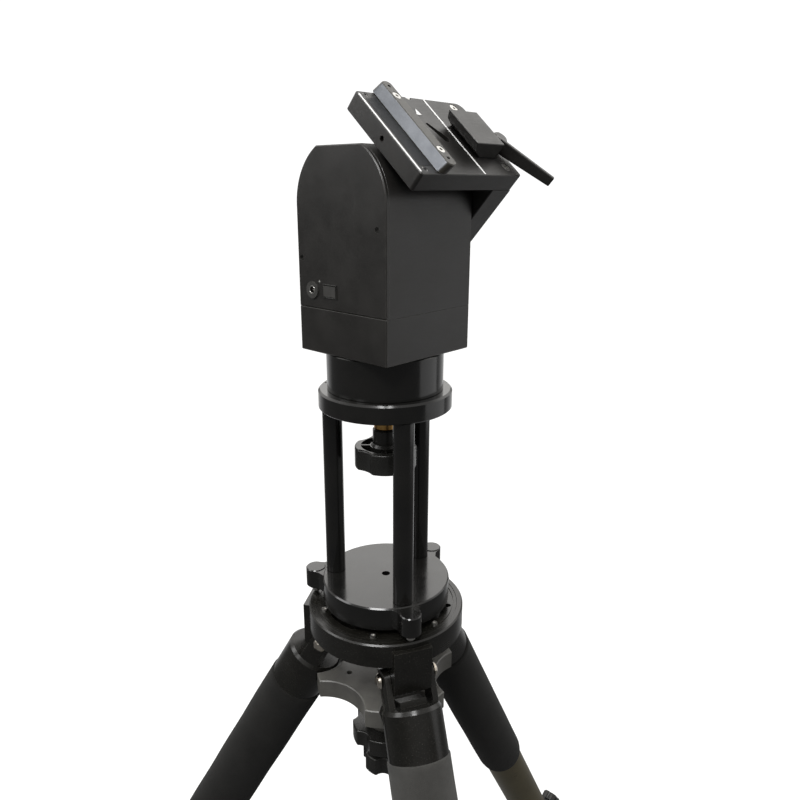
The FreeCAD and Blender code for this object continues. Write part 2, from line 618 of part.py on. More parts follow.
def archBlock(name, thick, grow, place):
    """Side outline of the head, flat-topped arch, extruded along X from its placement."""
    body = doc.addObject("PartDesign::Body", name)
    sketch = newSketch(body, "YZ_Plane", name + "Profile")
    half = size("headHalf") + grow
    rise = size("headFlat") - size("axisRise") + grow
    foot = size("headSeam") - size("axisRise") - grow
    flat = math.sqrt(half * half - rise * rise)
    turnOff = math.atan2(rise, flat)
    sketch.addGeometry(Part.LineSegment(Vec(-half, 0, 0), Vec(-half, foot, 0)), False)
    sketch.addGeometry(Part.LineSegment(Vec(-half, foot, 0), Vec(half, foot, 0)), False)
    sketch.addGeometry(Part.LineSegment(Vec(half, foot, 0), Vec(half, 0, 0)), False)
    circle = Part.Circle(Vec(0, 0, 0), Vec(0, 0, 1), half)
    sketch.addGeometry(Part.ArcOfCircle(circle, 0, turnOff), False)
    sketch.addGeometry(Part.LineSegment(Vec(flat, rise, 0), Vec(-flat, rise, 0)), False)
    sketch.addGeometry(Part.ArcOfCircle(circle, math.pi - turnOff, math.pi), False)
    joins = [(0, 2, 1, 1), (1, 2, 2, 1), (2, 2, 3, 1), (3, 2, 4, 1), (4, 2, 5, 1), (5, 2, 0, 1)]
    for first, end, second, start in joins:
        sketch.addConstraint(Sketcher.Constraint("Coincident", first, end, second, start))
    for arc in (3, 5):
        sketch.addConstraint(Sketcher.Constraint("Coincident", arc, 3, -1, 1))
    for side in (0, 2):
        sketch.addConstraint(Sketcher.Constraint("Vertical", side))
        sketch.addConstraint(Sketcher.Constraint("PointOnObject", side, 2 if side else 1, -1))
    sketch.addConstraint(Sketcher.Constraint("Horizontal", 1))
    sketch.addConstraint(Sketcher.Constraint("Horizontal", 4))
    radius = sketch.addConstraint(Sketcher.Constraint("Radius", 3, half))
    sketch.renameConstraint(radius, "arch")
    sketch.setExpression("Constraints.arch", "Sizes.headHalf + %g" % grow)
    top = sketch.addConstraint(Sketcher.Constraint("DistanceY", -1, 1, 4, 1, rise))
    sketch.renameConstraint(top, "flat")
    sketch.setExpression("Constraints.flat", "Sizes.headFlat - Sizes.axisRise + %g" % grow)
    bottom = sketch.addConstraint(Sketcher.Constraint("DistanceY", 1, 1, -1, 1, -foot))
    sketch.renameConstraint(bottom, "seam")
    sketch.setExpression("Constraints.seam", "Sizes.axisRise - Sizes.headSeam + %g" % grow)
    pad = body.newObject("PartDesign::Pad", name + "Pad")
    pad.Profile = sketch
    bind(pad, "Length", thick)
    body.Placement = place
    return body


def makeHead():
    wall = size("caseWall")
    wide = size("headHalfWide")
    skin = size("coverThick")
    inside = at(-wide + skin, 0, AXIS_Z)
    shell = archBlock("UpperShell", "headHalfWide+headHalfWide-coverThick", 0, inside)
    hollow = archBlock("UpperHollow", "headHalfWide+headHalfWide-coverThick-caseWall", -wall,
                       inside)
    mouth = box("UpperMouth", 2 * wide - wall - skin, 2 * (size("headHalf") - wall), 20,
                at((skin - wall) / 2, 0, TOP + size("headSeam") - 2))
    bore = cylinder("AltitudeBore", "altBore", 20, at(wide - 10, 0, 0).multiply(SIDEWAYS))
    holes = coverHoles(2.0, 22)
    rightEdge = flatAt(FACE_LEFT, -wide)
    seamEdge = flatAt(FACE_LEFT, wide - skin)
    solid = eased("CaseRightEased", shell, size("coverEdge"), rightEdge)
    solid = eased("CaseSeamEased", solid, size("seamEdge"), seamEdge)
    room = cutAway("HeadRoom", solid, [hollow, mouth, bore])
    posts = []
    for number, (along, up) in enumerate(COVER_SCREWS, start=1):
        edge = math.copysign(size("headHalf") - wall, along)
        across = abs(edge - along) + 5
        middle = edge - math.copysign(across / 2, along)
        posts.append(box("CaseBoss%d" % number, 10, across, 10, at(-wide + skin + 5, middle, TOP + up - 5)))
    node("head_case", cutAway("HeadCase", joined("CaseBlank", [room] + posts), holes))

    cover = archBlock("CoverPlate", "coverThick", 0, at(-wide, 0, AXIS_Z))
    jack = cylinder("JackHole", 6.1, 10, outwards(*SOCKET_AT, 5))
    gap = box("SwitchGap", 8, 19, 12, at(-wide + 2, SWITCH_AT[0], TOP + SWITCH_AT[1] - 6))
    lamp = cylinder("LampHole", 1.6, 10, outwards(*LAMP_AT, 5))
    plate = eased("CoverEased", cover, size("coverEdge"), flatAt(FACE_LEFT, wide))
    node("side_cover", cutAway("SideCover", plate, [jack, gap, lamp] + holes))

    blank = box("LowerBlock", "headHalfWide+headHalfWide", "headHalf+headHalf",
                "headSeam-headFoot-0.2", at(0, 0, TOP + size("headFoot")))
    seam = TOP + size("headSeam") - 0.2
    sides = eased("LowerSidesEased", blank, size("coverEdge"), uprightAt(at()))
    low = eased("LowerFootEased", sides, size("coverEdge"), flatAt(at(), TOP + size("headFoot")))
    block = eased("LowerEased", low, size("seamEdge"), flatAt(at(), seam))
    cavity = box("LowerCavity", "headHalfWide+headHalfWide-caseWall-caseWall",
                 "headHalf+headHalf-caseWall-caseWall", 60, at(0, 0, TOP + size("headFoot") + 8))
    hole = cylinder("LowerHole", 8.5, 20, at(0, 0, TOP + size("headFoot") - 5))
    node("head_foot_case", cutAway("HeadFootCase", block, [cavity, hole]))

    screws = []
    for number, (along, up) in enumerate(COVER_SCREWS, start=1):
        place = outwards(along, up, 2.2)
        screws.append(socketScrew("CoverScrew%d" % number, 2.0, 2.9, 1.6, 8, place))
    node("cover_screws", group("CoverScrews", screws))


def outwards(along, up, depth):
    """A placement on the cover's outer face whose z points out of it, sunk by depth."""
    face = Vec(-size("headHalfWide") + depth, along, TOP + up)
    return FreeCAD.Placement(face, Rot(Vec(0, 1, 0), -90))


def coverHoles(radius, length):
    """Counterbored screw holes in the side cover."""
    tools = []
    for number, (along, up) in enumerate(COVER_SCREWS, start=1):
        tools.append(cylinder("CoverScrewHole%d" % number, radius, length, outwards(along, up, length / 2)))
        tools.append(cylinder("CoverScrewSink%d" % number, 3.0, 5, outwards(along, up, 2.2)))
    return tools


def makeHeadFittings():
    flange = cylinder("SocketFlange", 8.5, 1.4, outwards(*SOCKET_AT, 0))
    barrel = cylinder("SocketBarrel", 6.0, 15, outwards(*SOCKET_AT, 15))
    hollow = cylinder("SocketHollow", 3.2, 12, outwards(*SOCKET_AT, 10))
    pin = cylinder("SocketPin", 1.0, 10, outwards(*SOCKET_AT, 10.5))
    ring = cutAway("SocketRing", joined("SocketBlank", [flange, barrel]), [hollow])
    node("power_socket", joined("PowerSocket", [ring, pin]))

    wide = size("headHalfWide")
    rocker = extruded("RockerBody", "XY_Plane", [
        (-2.0, -8.5), (0, -8.5), (7, -7), (7, 7), (0, 8.5), (-2.0, 8.5), (-1.0, 0),
    ], 0, 10.6, at(-wide + 0.6, SWITCH_AT[0], TOP + SWITCH_AT[1] - 5.3))
    node("power_switch", rocker)

    board = box("BoardPlate", 1.6, 88, 66, at(-39, 0, TOP + 98))
    chips = []
    for number, (along, up, long, high) in enumerate(CHIPS, start=1):
        chips.append(box("Chip%d" % number, 4, long, high, at(-36.5, along, TOP + up)))
    node("control_board", joined("ControlBoard", [board] + chips))

    azimuth = cylinder("AzimuthMotor", "motorRadius", 38, at(0, 0, TOP + size("headFoot") + 8))
    altitude = cylinder("AltitudeMotor", "motorRadius", 38, at(-30, 0, 0).multiply(SIDEWAYS))
    shafts = [cylinder("AzimuthMotorBore", "shaftRadius+0.4", 30, at(0, 0, TOP + 45)),
              cylinder("AltitudeMotorBore", "shaftRadius+0.4", 40, at(-6, 0, 0).multiply(SIDEWAYS))]
    node("drive_motors", group("DriveMotors", [
        cutAway("AzimuthMotorBody", azimuth, [shafts[0]]),
        cutAway("AltitudeMotorBody", altitude, [shafts[1]]),
    ]))

    wall = wide - size("caseWall")
    node("altitude_housing", revolved("AltitudeHousing", [
        (5, 8), ("altBore", 8), ("altBore", wall - 4), (46, wall - 4), (46, wall), ("altBore", wall),
        ("altRing", wall), ("altRing", 38), (34, 38), (34, 12), (5, 12),
    ], SIDEWAYS))
    node("altitude_flex_cup", revolved("AltitudeCup", [
        ("altCup-cupWall", 39.5), ("altCup", 39.5), ("altCup", 57.5), (36, 57.5), (36, "armInner"),
        (9, "armInner"), (9, 56), ("altCup-cupWall", 56),
    ], SIDEWAYS))
    wave = wavePlug("AltitudeWave", 27.8, 26.8, 42, 10, 52, SIDEWAYS)
    back = cylinder("AltitudeShaft", "shaftRadius", 50, at(-5, 0, 0).multiply(SIDEWAYS))
    node("altitude_wave_plug", joined("AltitudeWavePlug", [wave, back]))


# ---------------------------------------------------------------- saddle
def inSaddle(across=0.0, along=0.0, up=0.0):
    return SADDLE.multiply(at(across, along, up))


def crossSection(name, points, start, long):
    """A saddle bar: section across and up, running towards the plate's back from a start."""
    return extruded(name, "XZ_Plane", points, 0, long, inSaddle(0, size(start) + size(long), 0))


def armEdges(edge):
    """Outline edges of the arm's two broad faces, apart from those that meet the plate."""
    back = SADDLE.inverse()
    spots = [back.multVec(point) for point in edge.discretize(5)]
    flat = any(all(abs(spot.x - size(face)) < 0.01 for spot in spots) for face in ("armInner", "plateRight"))
    return flat and min(spot.z for spot in spots) < size("plateLow") - 1


def makeSaddle():
    deep = size("plateBack") - size("plateFront")
    middle = (size("plateBack") + size("plateFront")) / 2
    slabHigh = "plateHigh-plateLow"
    slab = extruded("PlateSlab", "XY_Plane", [
        ("plateLeft", "plateFront"), ("plateRight", "plateFront"), ("plateRight", "plateBack"),
        ("plateLeft", "plateBack"),
    ], 0, slabHigh, inSaddle(0, 0, size("plateLow")))
    atFarCorner = uprightAt(SADDLE, size("plateRight"), size("plateBack"))
    slab = eased("PlateFarCorner", slab, size("farCorner"), atFarCorner, rounded=True)
    slab = eased("PlateCorners", slab, size("plateCorner"), uprightAt(SADDLE), rounded=True)
    slab = eased("PlateEased", slab, size("plateEdge"), levelEdges(SADDLE))
    high = size("plateHigh")
    tools = [
        cylinder("LeverHole", "shaftRadius+0.4", 40, inSaddle(*LEVER_AT, high - 30)),
        cylinder("NotchCut", 4, 40, inSaddle(13, size("plateBack"), high - 30)),
        cylinder("SideHole", 2.5, 24, inSaddle(-56, 0, 76.5).multiply(
            FreeCAD.Placement(Vec(), Rot(Vec(0, 1, 0), 90)))),
    ]
    (across, along, radius), (farAcross, farAlong, farRadius) = SLOT_ENDS
    tools.append(cylinder("SlotNearEnd", radius, 40, inSaddle(across, along, high - 9)))
    tools.append(cylinder("SlotFarEnd", farRadius, 40, inSaddle(farAcross, farAlong, high - 9)))
    lean = math.atan2(farAlong - along, farAcross - across)
    side = (-math.sin(lean), math.cos(lean))
    tools.append(extruded("SlotRun", "XY_Plane", [
        (across + radius * side[0], along + radius * side[1]),
        (farAcross + farRadius * side[0], farAlong + farRadius * side[1]),
        (farAcross - farRadius * side[0], farAlong - farRadius * side[1]),
        (across - radius * side[0], along - radius * side[1]),
    ], 0, 40, inSaddle(0, 0, high - 9)))
    for number, (across, along, radius) in enumerate(DECK_SCREWS, start=1):
        tools.append(cylinder("DeckSink%d" % number, radius + 0.3, 12, inSaddle(across, along, high - 4)))
        tools.append(cylinder("DeckHole%d" % number, 2.0, 40, inSaddle(across, along, high - 14)))
    node("saddle_plate", cutAway("SaddlePlate", slab, tools))

    arm = box("ArmSlab", "plateRight-armInner", deep, "plateLow",
              inSaddle((size("armInner") + size("plateRight")) / 2, middle, 0))
    turn = FreeCAD.Placement(Vec(), Rot(Vec(0, 1, 0), 90))
    end = cylinder("ArmEnd", deep / 2, "plateRight-armInner",
                   inSaddle(size("armInner"), middle, 0).multiply(turn))
    dish = cylinder("ArmDish", 31, 10, inSaddle(size("plateRight") - 4, 0, 0).multiply(turn))
    trims = [dish]
    for number in range(6):
        spot = turn.multiply(turned(60.0 * number, at(22, 0, 0)))
        trims.append(cylinder("ArmBoltSink%d" % number, 4.6, 12,
                              inSaddle(size("plateRight") - 9, 0, 0).multiply(spot)))
    trims.append(cylinder("ArmBore", 9, 60, inSaddle(50, 0, 0).multiply(turn)))
    blank = eased("ArmEased", joined("ArmBlank", [arm, end]), size("plateEdge"), armEdges)
    node("saddle_arm", cutAway("SaddleArm", blank, trims))

    bar = crossSection("BarLength", [
        ("barLow", 0), ("barInner-4.5", 0), ("barInner", "barHeight"), ("barRidge", "barHeight"),
    ], "barStart", "barLong")
    bar.Placement = bar.Placement.multiply(at(0, 0, high))
    ends = eased("BarEnds", bar, size("barCorner"), uprightAt(SADDLE), rounded=True)
    spots = []
    for number, (across, along, radius) in enumerate(BAR_SCREWS, start=1):
        spots.append(cylinder("BarSink%d" % number, radius + 0.3, 12, inSaddle(across, along, high + 7.2)))
    for number, (across, along) in enumerate(BAR_PIN_HOLES, start=1):
        spots.append(cylinder("BarPinHole%d" % number, 1.9, 12, inSaddle(across, along, high + 6)))
    shape = eased("BarEased", ends, size("plateEdge"), levelEdges(SADDLE))
    node("fixed_jaw", cutAway("FixedJaw", shape, spots))

    screws = []
    for number in range(6):
        spot = turn.multiply(turned(60.0 * number, at(22, 0, 0)))
        place = inSaddle(size("plateRight") - 9, 0, 0).multiply(spot)
        screws.append(socketScrew("ArmBolt%d" % number, 2.0, 4.3, 4.6, 0.01, place))
    for number, (across, along, radius) in enumerate(DECK_SCREWS, start=1):
        screws.append(socketScrew("DeckScrew%d" % number, 1.9, radius, 3.6, 8,
                                  inSaddle(across, along, high - 4)))
    for number, (across, along, radius) in enumerate(BAR_SCREWS, start=1):
        screws.append(socketScrew("BarScrew%d" % number, 1.9, radius, 3.2, 0.01,
                                  inSaddle(across, along, high + 7.2)))
    node("saddle_screws", group("SaddleScrews", screws))

    jaw = crossSection("JawLength", [
        ("jawFoot", 0), ("jawBack", 0), ("jawBack", "jawTop-plateHigh-0.2"),
        ("jawLip", "jawTop-plateHigh-0.2"), ("jawLip+5", 7),
    ], "jawStart", "jawLong")
    jaw.Placement = jaw.Placement.multiply(at(0, 0, high + 0.2))
    node("jaw_block", eased("JawBlock", jaw, size("jawEdge")))


def makeLever():
    """Clamp lever: a stud and hub with a flat blade that leaves the hub at a tangent."""
    high = size("plateHigh")
    pivot = inSaddle(*LEVER_AT, high + 0.4)
    hub = revolved("LeverHub", [
        (0, -14), ("shaftRadius", -14), ("shaftRadius", 0), ("leverHub", 0), ("leverHub", 12),
        ("leverHub-1.5", 13.5), (0, 13.5),
    ], pivot)
    rise = size("leverTop") - high - 0.4
    face = pivot.multiply(turned(LEVER_SWING, at(0, size("leverThick") - size("leverHub"), 0)))
    blade = extruded("LeverBlade", "XZ_Plane", [
        (0, 0.2), (6, 0.2), ("leverReach", "leverTipLow-plateHigh-0.4"), ("leverReach", rise), (0, rise),
    ], 0, "leverThick", face)
    arm = eased("LeverBladeEased", blade, 1.2, rounded=True)
    node("clamp_lever", joined("ClampLever", [hub, arm]))


def makeAll():
    makeHub()
    makeLegPins()
    makePier()
    makeLock()
    makeSpreader()
    for number, angle in enumerate(LEGS, start=1):
        makeLeg(number, angle)
    makeBase()
    makeHead()
    makeHeadFittings()
    makeSaddle()
    makeLever()


def checkAndExport():
    doc.recompute()
    for thing in doc.Objects:
        if "Invalid" in thing.State or "Error" in thing.State:
            raise RuntimeError("%s is %s" % (thing.Name, thing.State))
    for part in PARTS:
        shape = part.Shape
        if shape.isNull() or not shape.isValid() or not shape.Solids:
            raise RuntimeError("%s has no valid solid" % part.Label)
    for part in PARTS:
        part.Shape.exportStep("parts/%s.step" % part.Label)
        print("%-22s %9.0f mm3  %d solid(s)" % (part.Label, part.Shape.Volume, len(part.Shape.Solids)))
    print("%d nodes" % len(PARTS))


makeAll()
checkAndExport()
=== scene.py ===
import bpy
import bmesh
import json
import math
from mathutils import Matrix, Vector


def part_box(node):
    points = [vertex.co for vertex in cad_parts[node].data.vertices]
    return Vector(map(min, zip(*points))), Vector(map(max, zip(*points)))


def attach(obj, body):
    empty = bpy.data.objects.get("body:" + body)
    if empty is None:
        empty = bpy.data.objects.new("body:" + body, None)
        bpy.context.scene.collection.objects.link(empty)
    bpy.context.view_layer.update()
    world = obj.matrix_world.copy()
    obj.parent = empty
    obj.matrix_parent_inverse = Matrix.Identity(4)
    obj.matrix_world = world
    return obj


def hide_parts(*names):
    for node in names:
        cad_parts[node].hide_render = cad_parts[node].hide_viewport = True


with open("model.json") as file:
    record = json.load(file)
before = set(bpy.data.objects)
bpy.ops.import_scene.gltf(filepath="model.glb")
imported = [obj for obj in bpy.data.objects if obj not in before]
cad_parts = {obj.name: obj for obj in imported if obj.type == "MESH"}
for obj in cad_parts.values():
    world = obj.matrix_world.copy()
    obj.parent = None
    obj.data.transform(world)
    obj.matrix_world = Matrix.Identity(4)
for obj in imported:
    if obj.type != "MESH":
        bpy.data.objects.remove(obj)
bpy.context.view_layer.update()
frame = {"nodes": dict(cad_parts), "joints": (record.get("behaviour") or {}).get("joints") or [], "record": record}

# Star tracker mount: tilting clamp head on a post pier and a tripod.
# Metres, same frame as the model: Z up, origin on the floor under the azimuth axis.

scene = bpy.context.scene
nodes = frame["nodes"]
joints = {joint["name"]: joint for joint in frame["joints"]}

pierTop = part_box("pier_ring")[1].z
axisHigh = joints["altitude_tilt"]["pos_m"][2]
print("frame loaded, pier top at %.3f m" % pierTop)


# meshes and placements
def finishMesh(bm, name, smooth=True, weld=1e-6):
    # merge, face outwards, and hand over as an object at the origin
    bmesh.ops.remove_doubles(bm, verts=bm.verts, dist=weld)
    bmesh.ops.recalc_face_normals(bm, faces=bm.faces)
    mesh = bpy.data.meshes.new(name)
    bm.to_mesh(mesh)
    bm.free()
    for face in mesh.polygons:
        face.use_smooth = smooth
    piece = bpy.data.objects.new(name, mesh)
    scene.collection.objects.link(piece)
    return piece


def frameOf(origin, xAxis, zAxis):
    # matrix of a frame with z and x given, y worked out
    z = Vector(zAxis).normalized()
    x = Vector(xAxis)
    x = (x - z * x.dot(z)).normalized()
    y = z.cross(x)
    turn = Matrix((x, y, z)).transposed().to_4x4()
    return Matrix.Translation(Vector(origin)) @ turn


# material nodes
def newMaterial(name, shader):
    material = bpy.data.materials.new(name)
    material.use_nodes = True
    principled = material.node_tree.nodes["Principled BSDF"]
    for socket, value in shader.items():
        principled.inputs[socket].default_value = value
    return material, material.node_tree, principled


def addNode(tree, kind, **settings):
    node = tree.nodes.new(kind)
    for key, value in settings.items():
        setattr(node, key, value)
    return node


def objectSpace(tree, scale=(1.0, 1.0, 1.0), turn=(0.0, 0.0, 0.0)):
    place = addNode(tree, "ShaderNodeTexCoord")
    mapping = addNode(tree, "ShaderNodeMapping")
    mapping.inputs["Scale"].default_value = scale
    mapping.inputs["Rotation"].default_value = turn
    tree.links.new(place.outputs["Object"], mapping.inputs["Vector"])
    return mapping.outputs["Vector"]


def noiseOf(tree, space, scale, detail=3.0, roughness=0.5):
    noise = addNode(tree, "ShaderNodeTexNoise")
    noise.inputs["Scale"].default_value = scale
    noise.inputs["Detail"].default_value = detail
    noise.inputs["Roughness"].default_value = roughness
    tree.links.new(space, noise.inputs["Vector"])
    return noise.outputs["Fac"]


def rangeOf(tree, value, low, high, toLow, toHigh):
    spread = addNode(tree, "ShaderNodeMapRange")
    for socket, number in zip(("From Min", "From Max", "To Min", "To Max"), (low, high, toLow, toHigh)):
        spread.inputs[socket].default_value = number
    tree.links.new(value, spread.inputs["Value"])
    return spread.outputs["Result"]


def mixColour(tree, factor, first, second):
    # first and second are colours or sockets
    mix = addNode(tree, "ShaderNodeMix", data_type="RGBA")
    tree.links.new(factor, mix.inputs["Factor"])
    for socket, colour in (("A", first), ("B", second)):
        target = [item for item in mix.inputs if item.name == socket and item.type == "RGBA"][0]
        if isinstance(colour, bpy.types.NodeSocket):
            tree.links.new(colour, target)
        else:
            target.default_value = (*colour, 1.0)
    return [item for item in mix.outputs if item.type == "RGBA"][0]


def mathOf(tree, operation, first, second):
    node = addNode(tree, "ShaderNodeMath", operation=operation)
    for socket, value in zip(node.inputs, (first, second)):
        if isinstance(value, bpy.types.NodeSocket):
            tree.links.new(value, socket)
        else:
            socket.default_value = value
    return node.outputs["Value"]


def bumpOf(tree, height, strength, distance, before=None):
    bump = addNode(tree, "ShaderNodeBump")
    bump.inputs["Strength"].default_value = strength
    bump.inputs["Distance"].default_value = distance
    tree.links.new(height, bump.inputs["Height"])
    if before is not None:
        tree.links.new(before, bump.inputs["Normal"])
    return bump.outputs["Normal"]


def edgesOf(tree, width):
    # 0 on flats, towards 1 where an edge is within width
    soft = addNode(tree, "ShaderNodeBevel", samples=4)
    soft.inputs["Radius"].default_value = width
    plain = addNode(tree, "ShaderNodeNewGeometry")
    dot = addNode(tree, "ShaderNodeVectorMath", operation="DOT_PRODUCT")
    tree.links.new(soft.outputs["Normal"], dot.inputs[0])
    tree.links.new(plain.outputs["Normal"], dot.inputs[1])
    return rangeOf(tree, dot.outputs["Value"], 0.995, 0.80, 0.0, 1.0)


# finishes
def coatedMetal(name, look):
    # anodised or painted metal: cloudy tone, fine grain, wiped marks, paler edges that are partly wear and partly
    # a painted edge highlight
    material, tree, shader = newMaterial(name, {
        "Metallic": look["metallic"], "IOR": 1.5, "Specular IOR Level": look["specular"],
    })
    space = objectSpace(tree)
    cloud = noiseOf(tree, space, look["cloudScale"], 4.0, 0.6)
    grain = noiseOf(tree, space, look["grainScale"], 2.0, 0.5)
    marks = noiseOf(tree, objectSpace(tree, (1.0, 1.0, 14.0), (0.5, 0.3, 0.0)), 60.0, 3.0, 0.6)
    tone = mixColour(tree, rangeOf(tree, cloud, 0.35, 0.65, 0.0, 1.0), look["dark"], look["light"])
    fleck = mixColour(tree, rangeOf(tree, grain, 0.62, 0.75, 0.0, look.get("fleck", 0.3)), tone, look["edge"])
    # rims paled towards the edge colour: part wear, part painted highlight
    wearAndHighlightEdges = mathOf(tree, "MULTIPLY", edgesOf(tree, look["edgeWidth"]),
                 rangeOf(tree, cloud, 0.3, 0.7, 0.35 * look["wear"], look["wear"]))
    colour = mixColour(tree, wearAndHighlightEdges, fleck, look["edge"])
    tree.links.new(colour, shader.inputs["Base Color"])
    rough = mathOf(tree, "ADD", rangeOf(tree, cloud, 0.3, 0.7, look["rough"] - 0.05, look["rough"] + 0.05),
                  rangeOf(tree, marks, 0.55, 0.75, 0.0, -0.08))
    polished = mathOf(tree, "MULTIPLY", edgesOf(tree, look["edgeWidth"]),
                     -look.get("polish", 0.6) * look["rough"])
    tree.links.new(mathOf(tree, "ADD", rough, polished), shader.inputs["Roughness"])
    first = bumpOf(tree, grain, look["grainDepth"], 0.00012)
    tree.links.new(bumpOf(tree, cloud, 0.05, 0.0008, first), shader.inputs["Normal"])
    return material


def bareMetal(name, look):
    # turned or drawn metal: bright base with fine lines along one direction
    material, tree, shader = newMaterial(name, {"Metallic": 1.0, "Specular IOR Level": 0.5})
    lines = noiseOf(tree, objectSpace(tree, look["lineScale"]), 1.0, 4.0, 0.6)
    cloud = noiseOf(tree, objectSpace(tree), 90.0, 3.0, 0.6)
    colour = mixColour(tree, rangeOf(tree, cloud, 0.3, 0.7, 0.0, 1.0), look["dark"], look["light"])
    stain = mixColour(tree, rangeOf(tree, lines, 0.55, 0.8, 0.0, 0.5), colour, look["dark"])
    tree.links.new(stain, shader.inputs["Base Color"])
    rough = rangeOf(tree, lines, 0.3, 0.7, look["rough"] - 0.05, look["rough"] + 0.07)
    tree.links.new(rough, shader.inputs["Roughness"])
    tree.links.new(bumpOf(tree, lines, look["lineDepth"], 0.0001), shader.inputs["Normal"])
    return material


def mouldedPlastic(name, look):
    material, tree, shader = newMaterial(name, {"IOR": 1.48, "Specular IOR Level": look.get("specular", 0.5)})
    space = objectSpace(tree)
    cloud = noiseOf(tree, space, 45.0, 3.0, 0.55)
    pebble = addNode(tree, "ShaderNodeTexVoronoi", feature="SMOOTH_F1")
    pebble.inputs["Scale"].default_value = look["pebbleScale"]
    tree.links.new(space, pebble.inputs["Vector"])
    colour = mixColour(tree, rangeOf(tree, cloud, 0.3, 0.7, 0.0, 1.0), look["dark"], look["light"])
    tree.links.new(colour, shader.inputs["Base Color"])
    tree.links.new(rangeOf(tree, cloud, 0.3, 0.7, look["rough"] - 0.06, look["rough"] + 0.06),
                   shader.inputs["Roughness"])
    tree.links.new(bumpOf(tree, pebble.outputs["Distance"], look["pebbleDepth"], 0.0002),
                   shader.inputs["Normal"])
    return material


def foamRubber(name, look):
    # closed-cell foam: matte, fine open pores darkened with painted shade, faint handling sheen
    material, tree, shader = newMaterial(name, {
        "IOR": 1.4, "Specular IOR Level": 0.13, "Sheen Weight": look["sheen"], "Sheen Roughness": 0.6,
        "Sheen Tint": (0.8, 0.8, 0.8, 1.0),
    })
    space = objectSpace(tree)
    cells = addNode(tree, "ShaderNodeTexVoronoi", feature="F1")
    cells.inputs["Scale"].default_value = look["cellScale"]
    tree.links.new(space, cells.inputs["Vector"])
    fine = noiseOf(tree, space, look["cellScale"] * 0.7, 3.0, 0.6)
    wide = noiseOf(tree, space, 28.0, 4.0, 0.6)
    pores = rangeOf(tree, cells.outputs["Distance"], 0.15, 0.6, 1.0, 0.0)
    tone = mixColour(tree, rangeOf(tree, wide, 0.32, 0.68, 0.0, 1.0), look["dark"], look["light"])
    # pores mixed towards the darker pore colour: painted shade in the cells
    colour = mixColour(tree, rangeOf(tree, pores, 0.6, 1.0, 0.0, 0.55), tone, look["poreShade"])
    tree.links.new(colour, shader.inputs["Base Color"])
    tree.links.new(rangeOf(tree, wide, 0.3, 0.7, 0.72, 0.9), shader.inputs["Roughness"])
    first = bumpOf(tree, pores, 0.35, -0.0004)
    second = bumpOf(tree, fine, 0.5, 0.0003, first)
    tree.links.new(bumpOf(tree, wide, 0.2, 0.002, second), shader.inputs["Normal"])
    return material


# the "edge" colours below lighten the rims, partly as wear and partly as painted edge highlight
satinBlack = {
    "dark": (0.0090, 0.0083, 0.0075), "light": (0.0140, 0.0130, 0.0117), "edge": (0.15, 0.145, 0.135),
    "metallic": 0.0, "specular": 0.5, "rough": 0.42, "cloudScale": 26.0, "grainScale": 2600.0,
    "grainDepth": 0.35, "edgeWidth": 0.0008, "wear": 0.6,
}
glossBlack = {
    "dark": (0.0045, 0.0045, 0.0043), "light": (0.0078, 0.0075, 0.0068), "edge": (0.10, 0.096, 0.09),
    "metallic": 0.0, "specular": 0.55, "rough": 0.18, "cloudScale": 20.0, "grainScale": 1500.0,
    "grainDepth": 0.03, "edgeWidth": 0.0006, "wear": 0.25, "fleck": 0.03,
}
castBlack = {
    "dark": (0.0055, 0.0052, 0.0042), "light": (0.0090, 0.0085, 0.0070), "edge": (0.10, 0.095, 0.085),
    "metallic": 0.0, "specular": 0.45, "rough": 0.25, "cloudScale": 40.0, "grainScale": 900.0,
    "grainDepth": 0.12, "edgeWidth": 0.0009, "wear": 0.45, "polish": 0.1,
}
barGrey = {
    "dark": (0.26, 0.28, 0.34), "light": (0.34, 0.36, 0.42), "edge": (0.6, 0.6, 0.62),
    "metallic": 0.85, "specular": 0.5, "rough": 0.36, "cloudScale": 30.0, "grainScale": 2200.0,
    "grainDepth": 0.25, "edgeWidth": 0.0005, "wear": 0.6, "fleck": 0.1,
}
# spreader's copy of the cast black: base colour about ten times lighter as painted light and reflection on its top
spreaderBlackLit = {
    "dark": (0.085, 0.082, 0.076), "light": (0.118, 0.115, 0.104), "edge": (0.14, 0.136, 0.125),
    "metallic": 0.0, "specular": 0.6, "rough": 0.36, "cloudScale": 34.0, "grainScale": 900.0,
    "grainDepth": 0.1, "edgeWidth": 0.0009, "wear": 0.3, "polish": 0.0,
}
tubeKhaki = {
    "dark": (0.125, 0.105, 0.058), "light": (0.175, 0.150, 0.086), "edge": (0.3, 0.28, 0.22),
    "metallic": 0.75, "specular": 0.5, "rough": 0.33, "cloudScale": 16.0, "grainScale": 1800.0,
    "grainDepth": 0.2, "edgeWidth": 0.0006, "wear": 0.5, "fleck": 0.15,
}

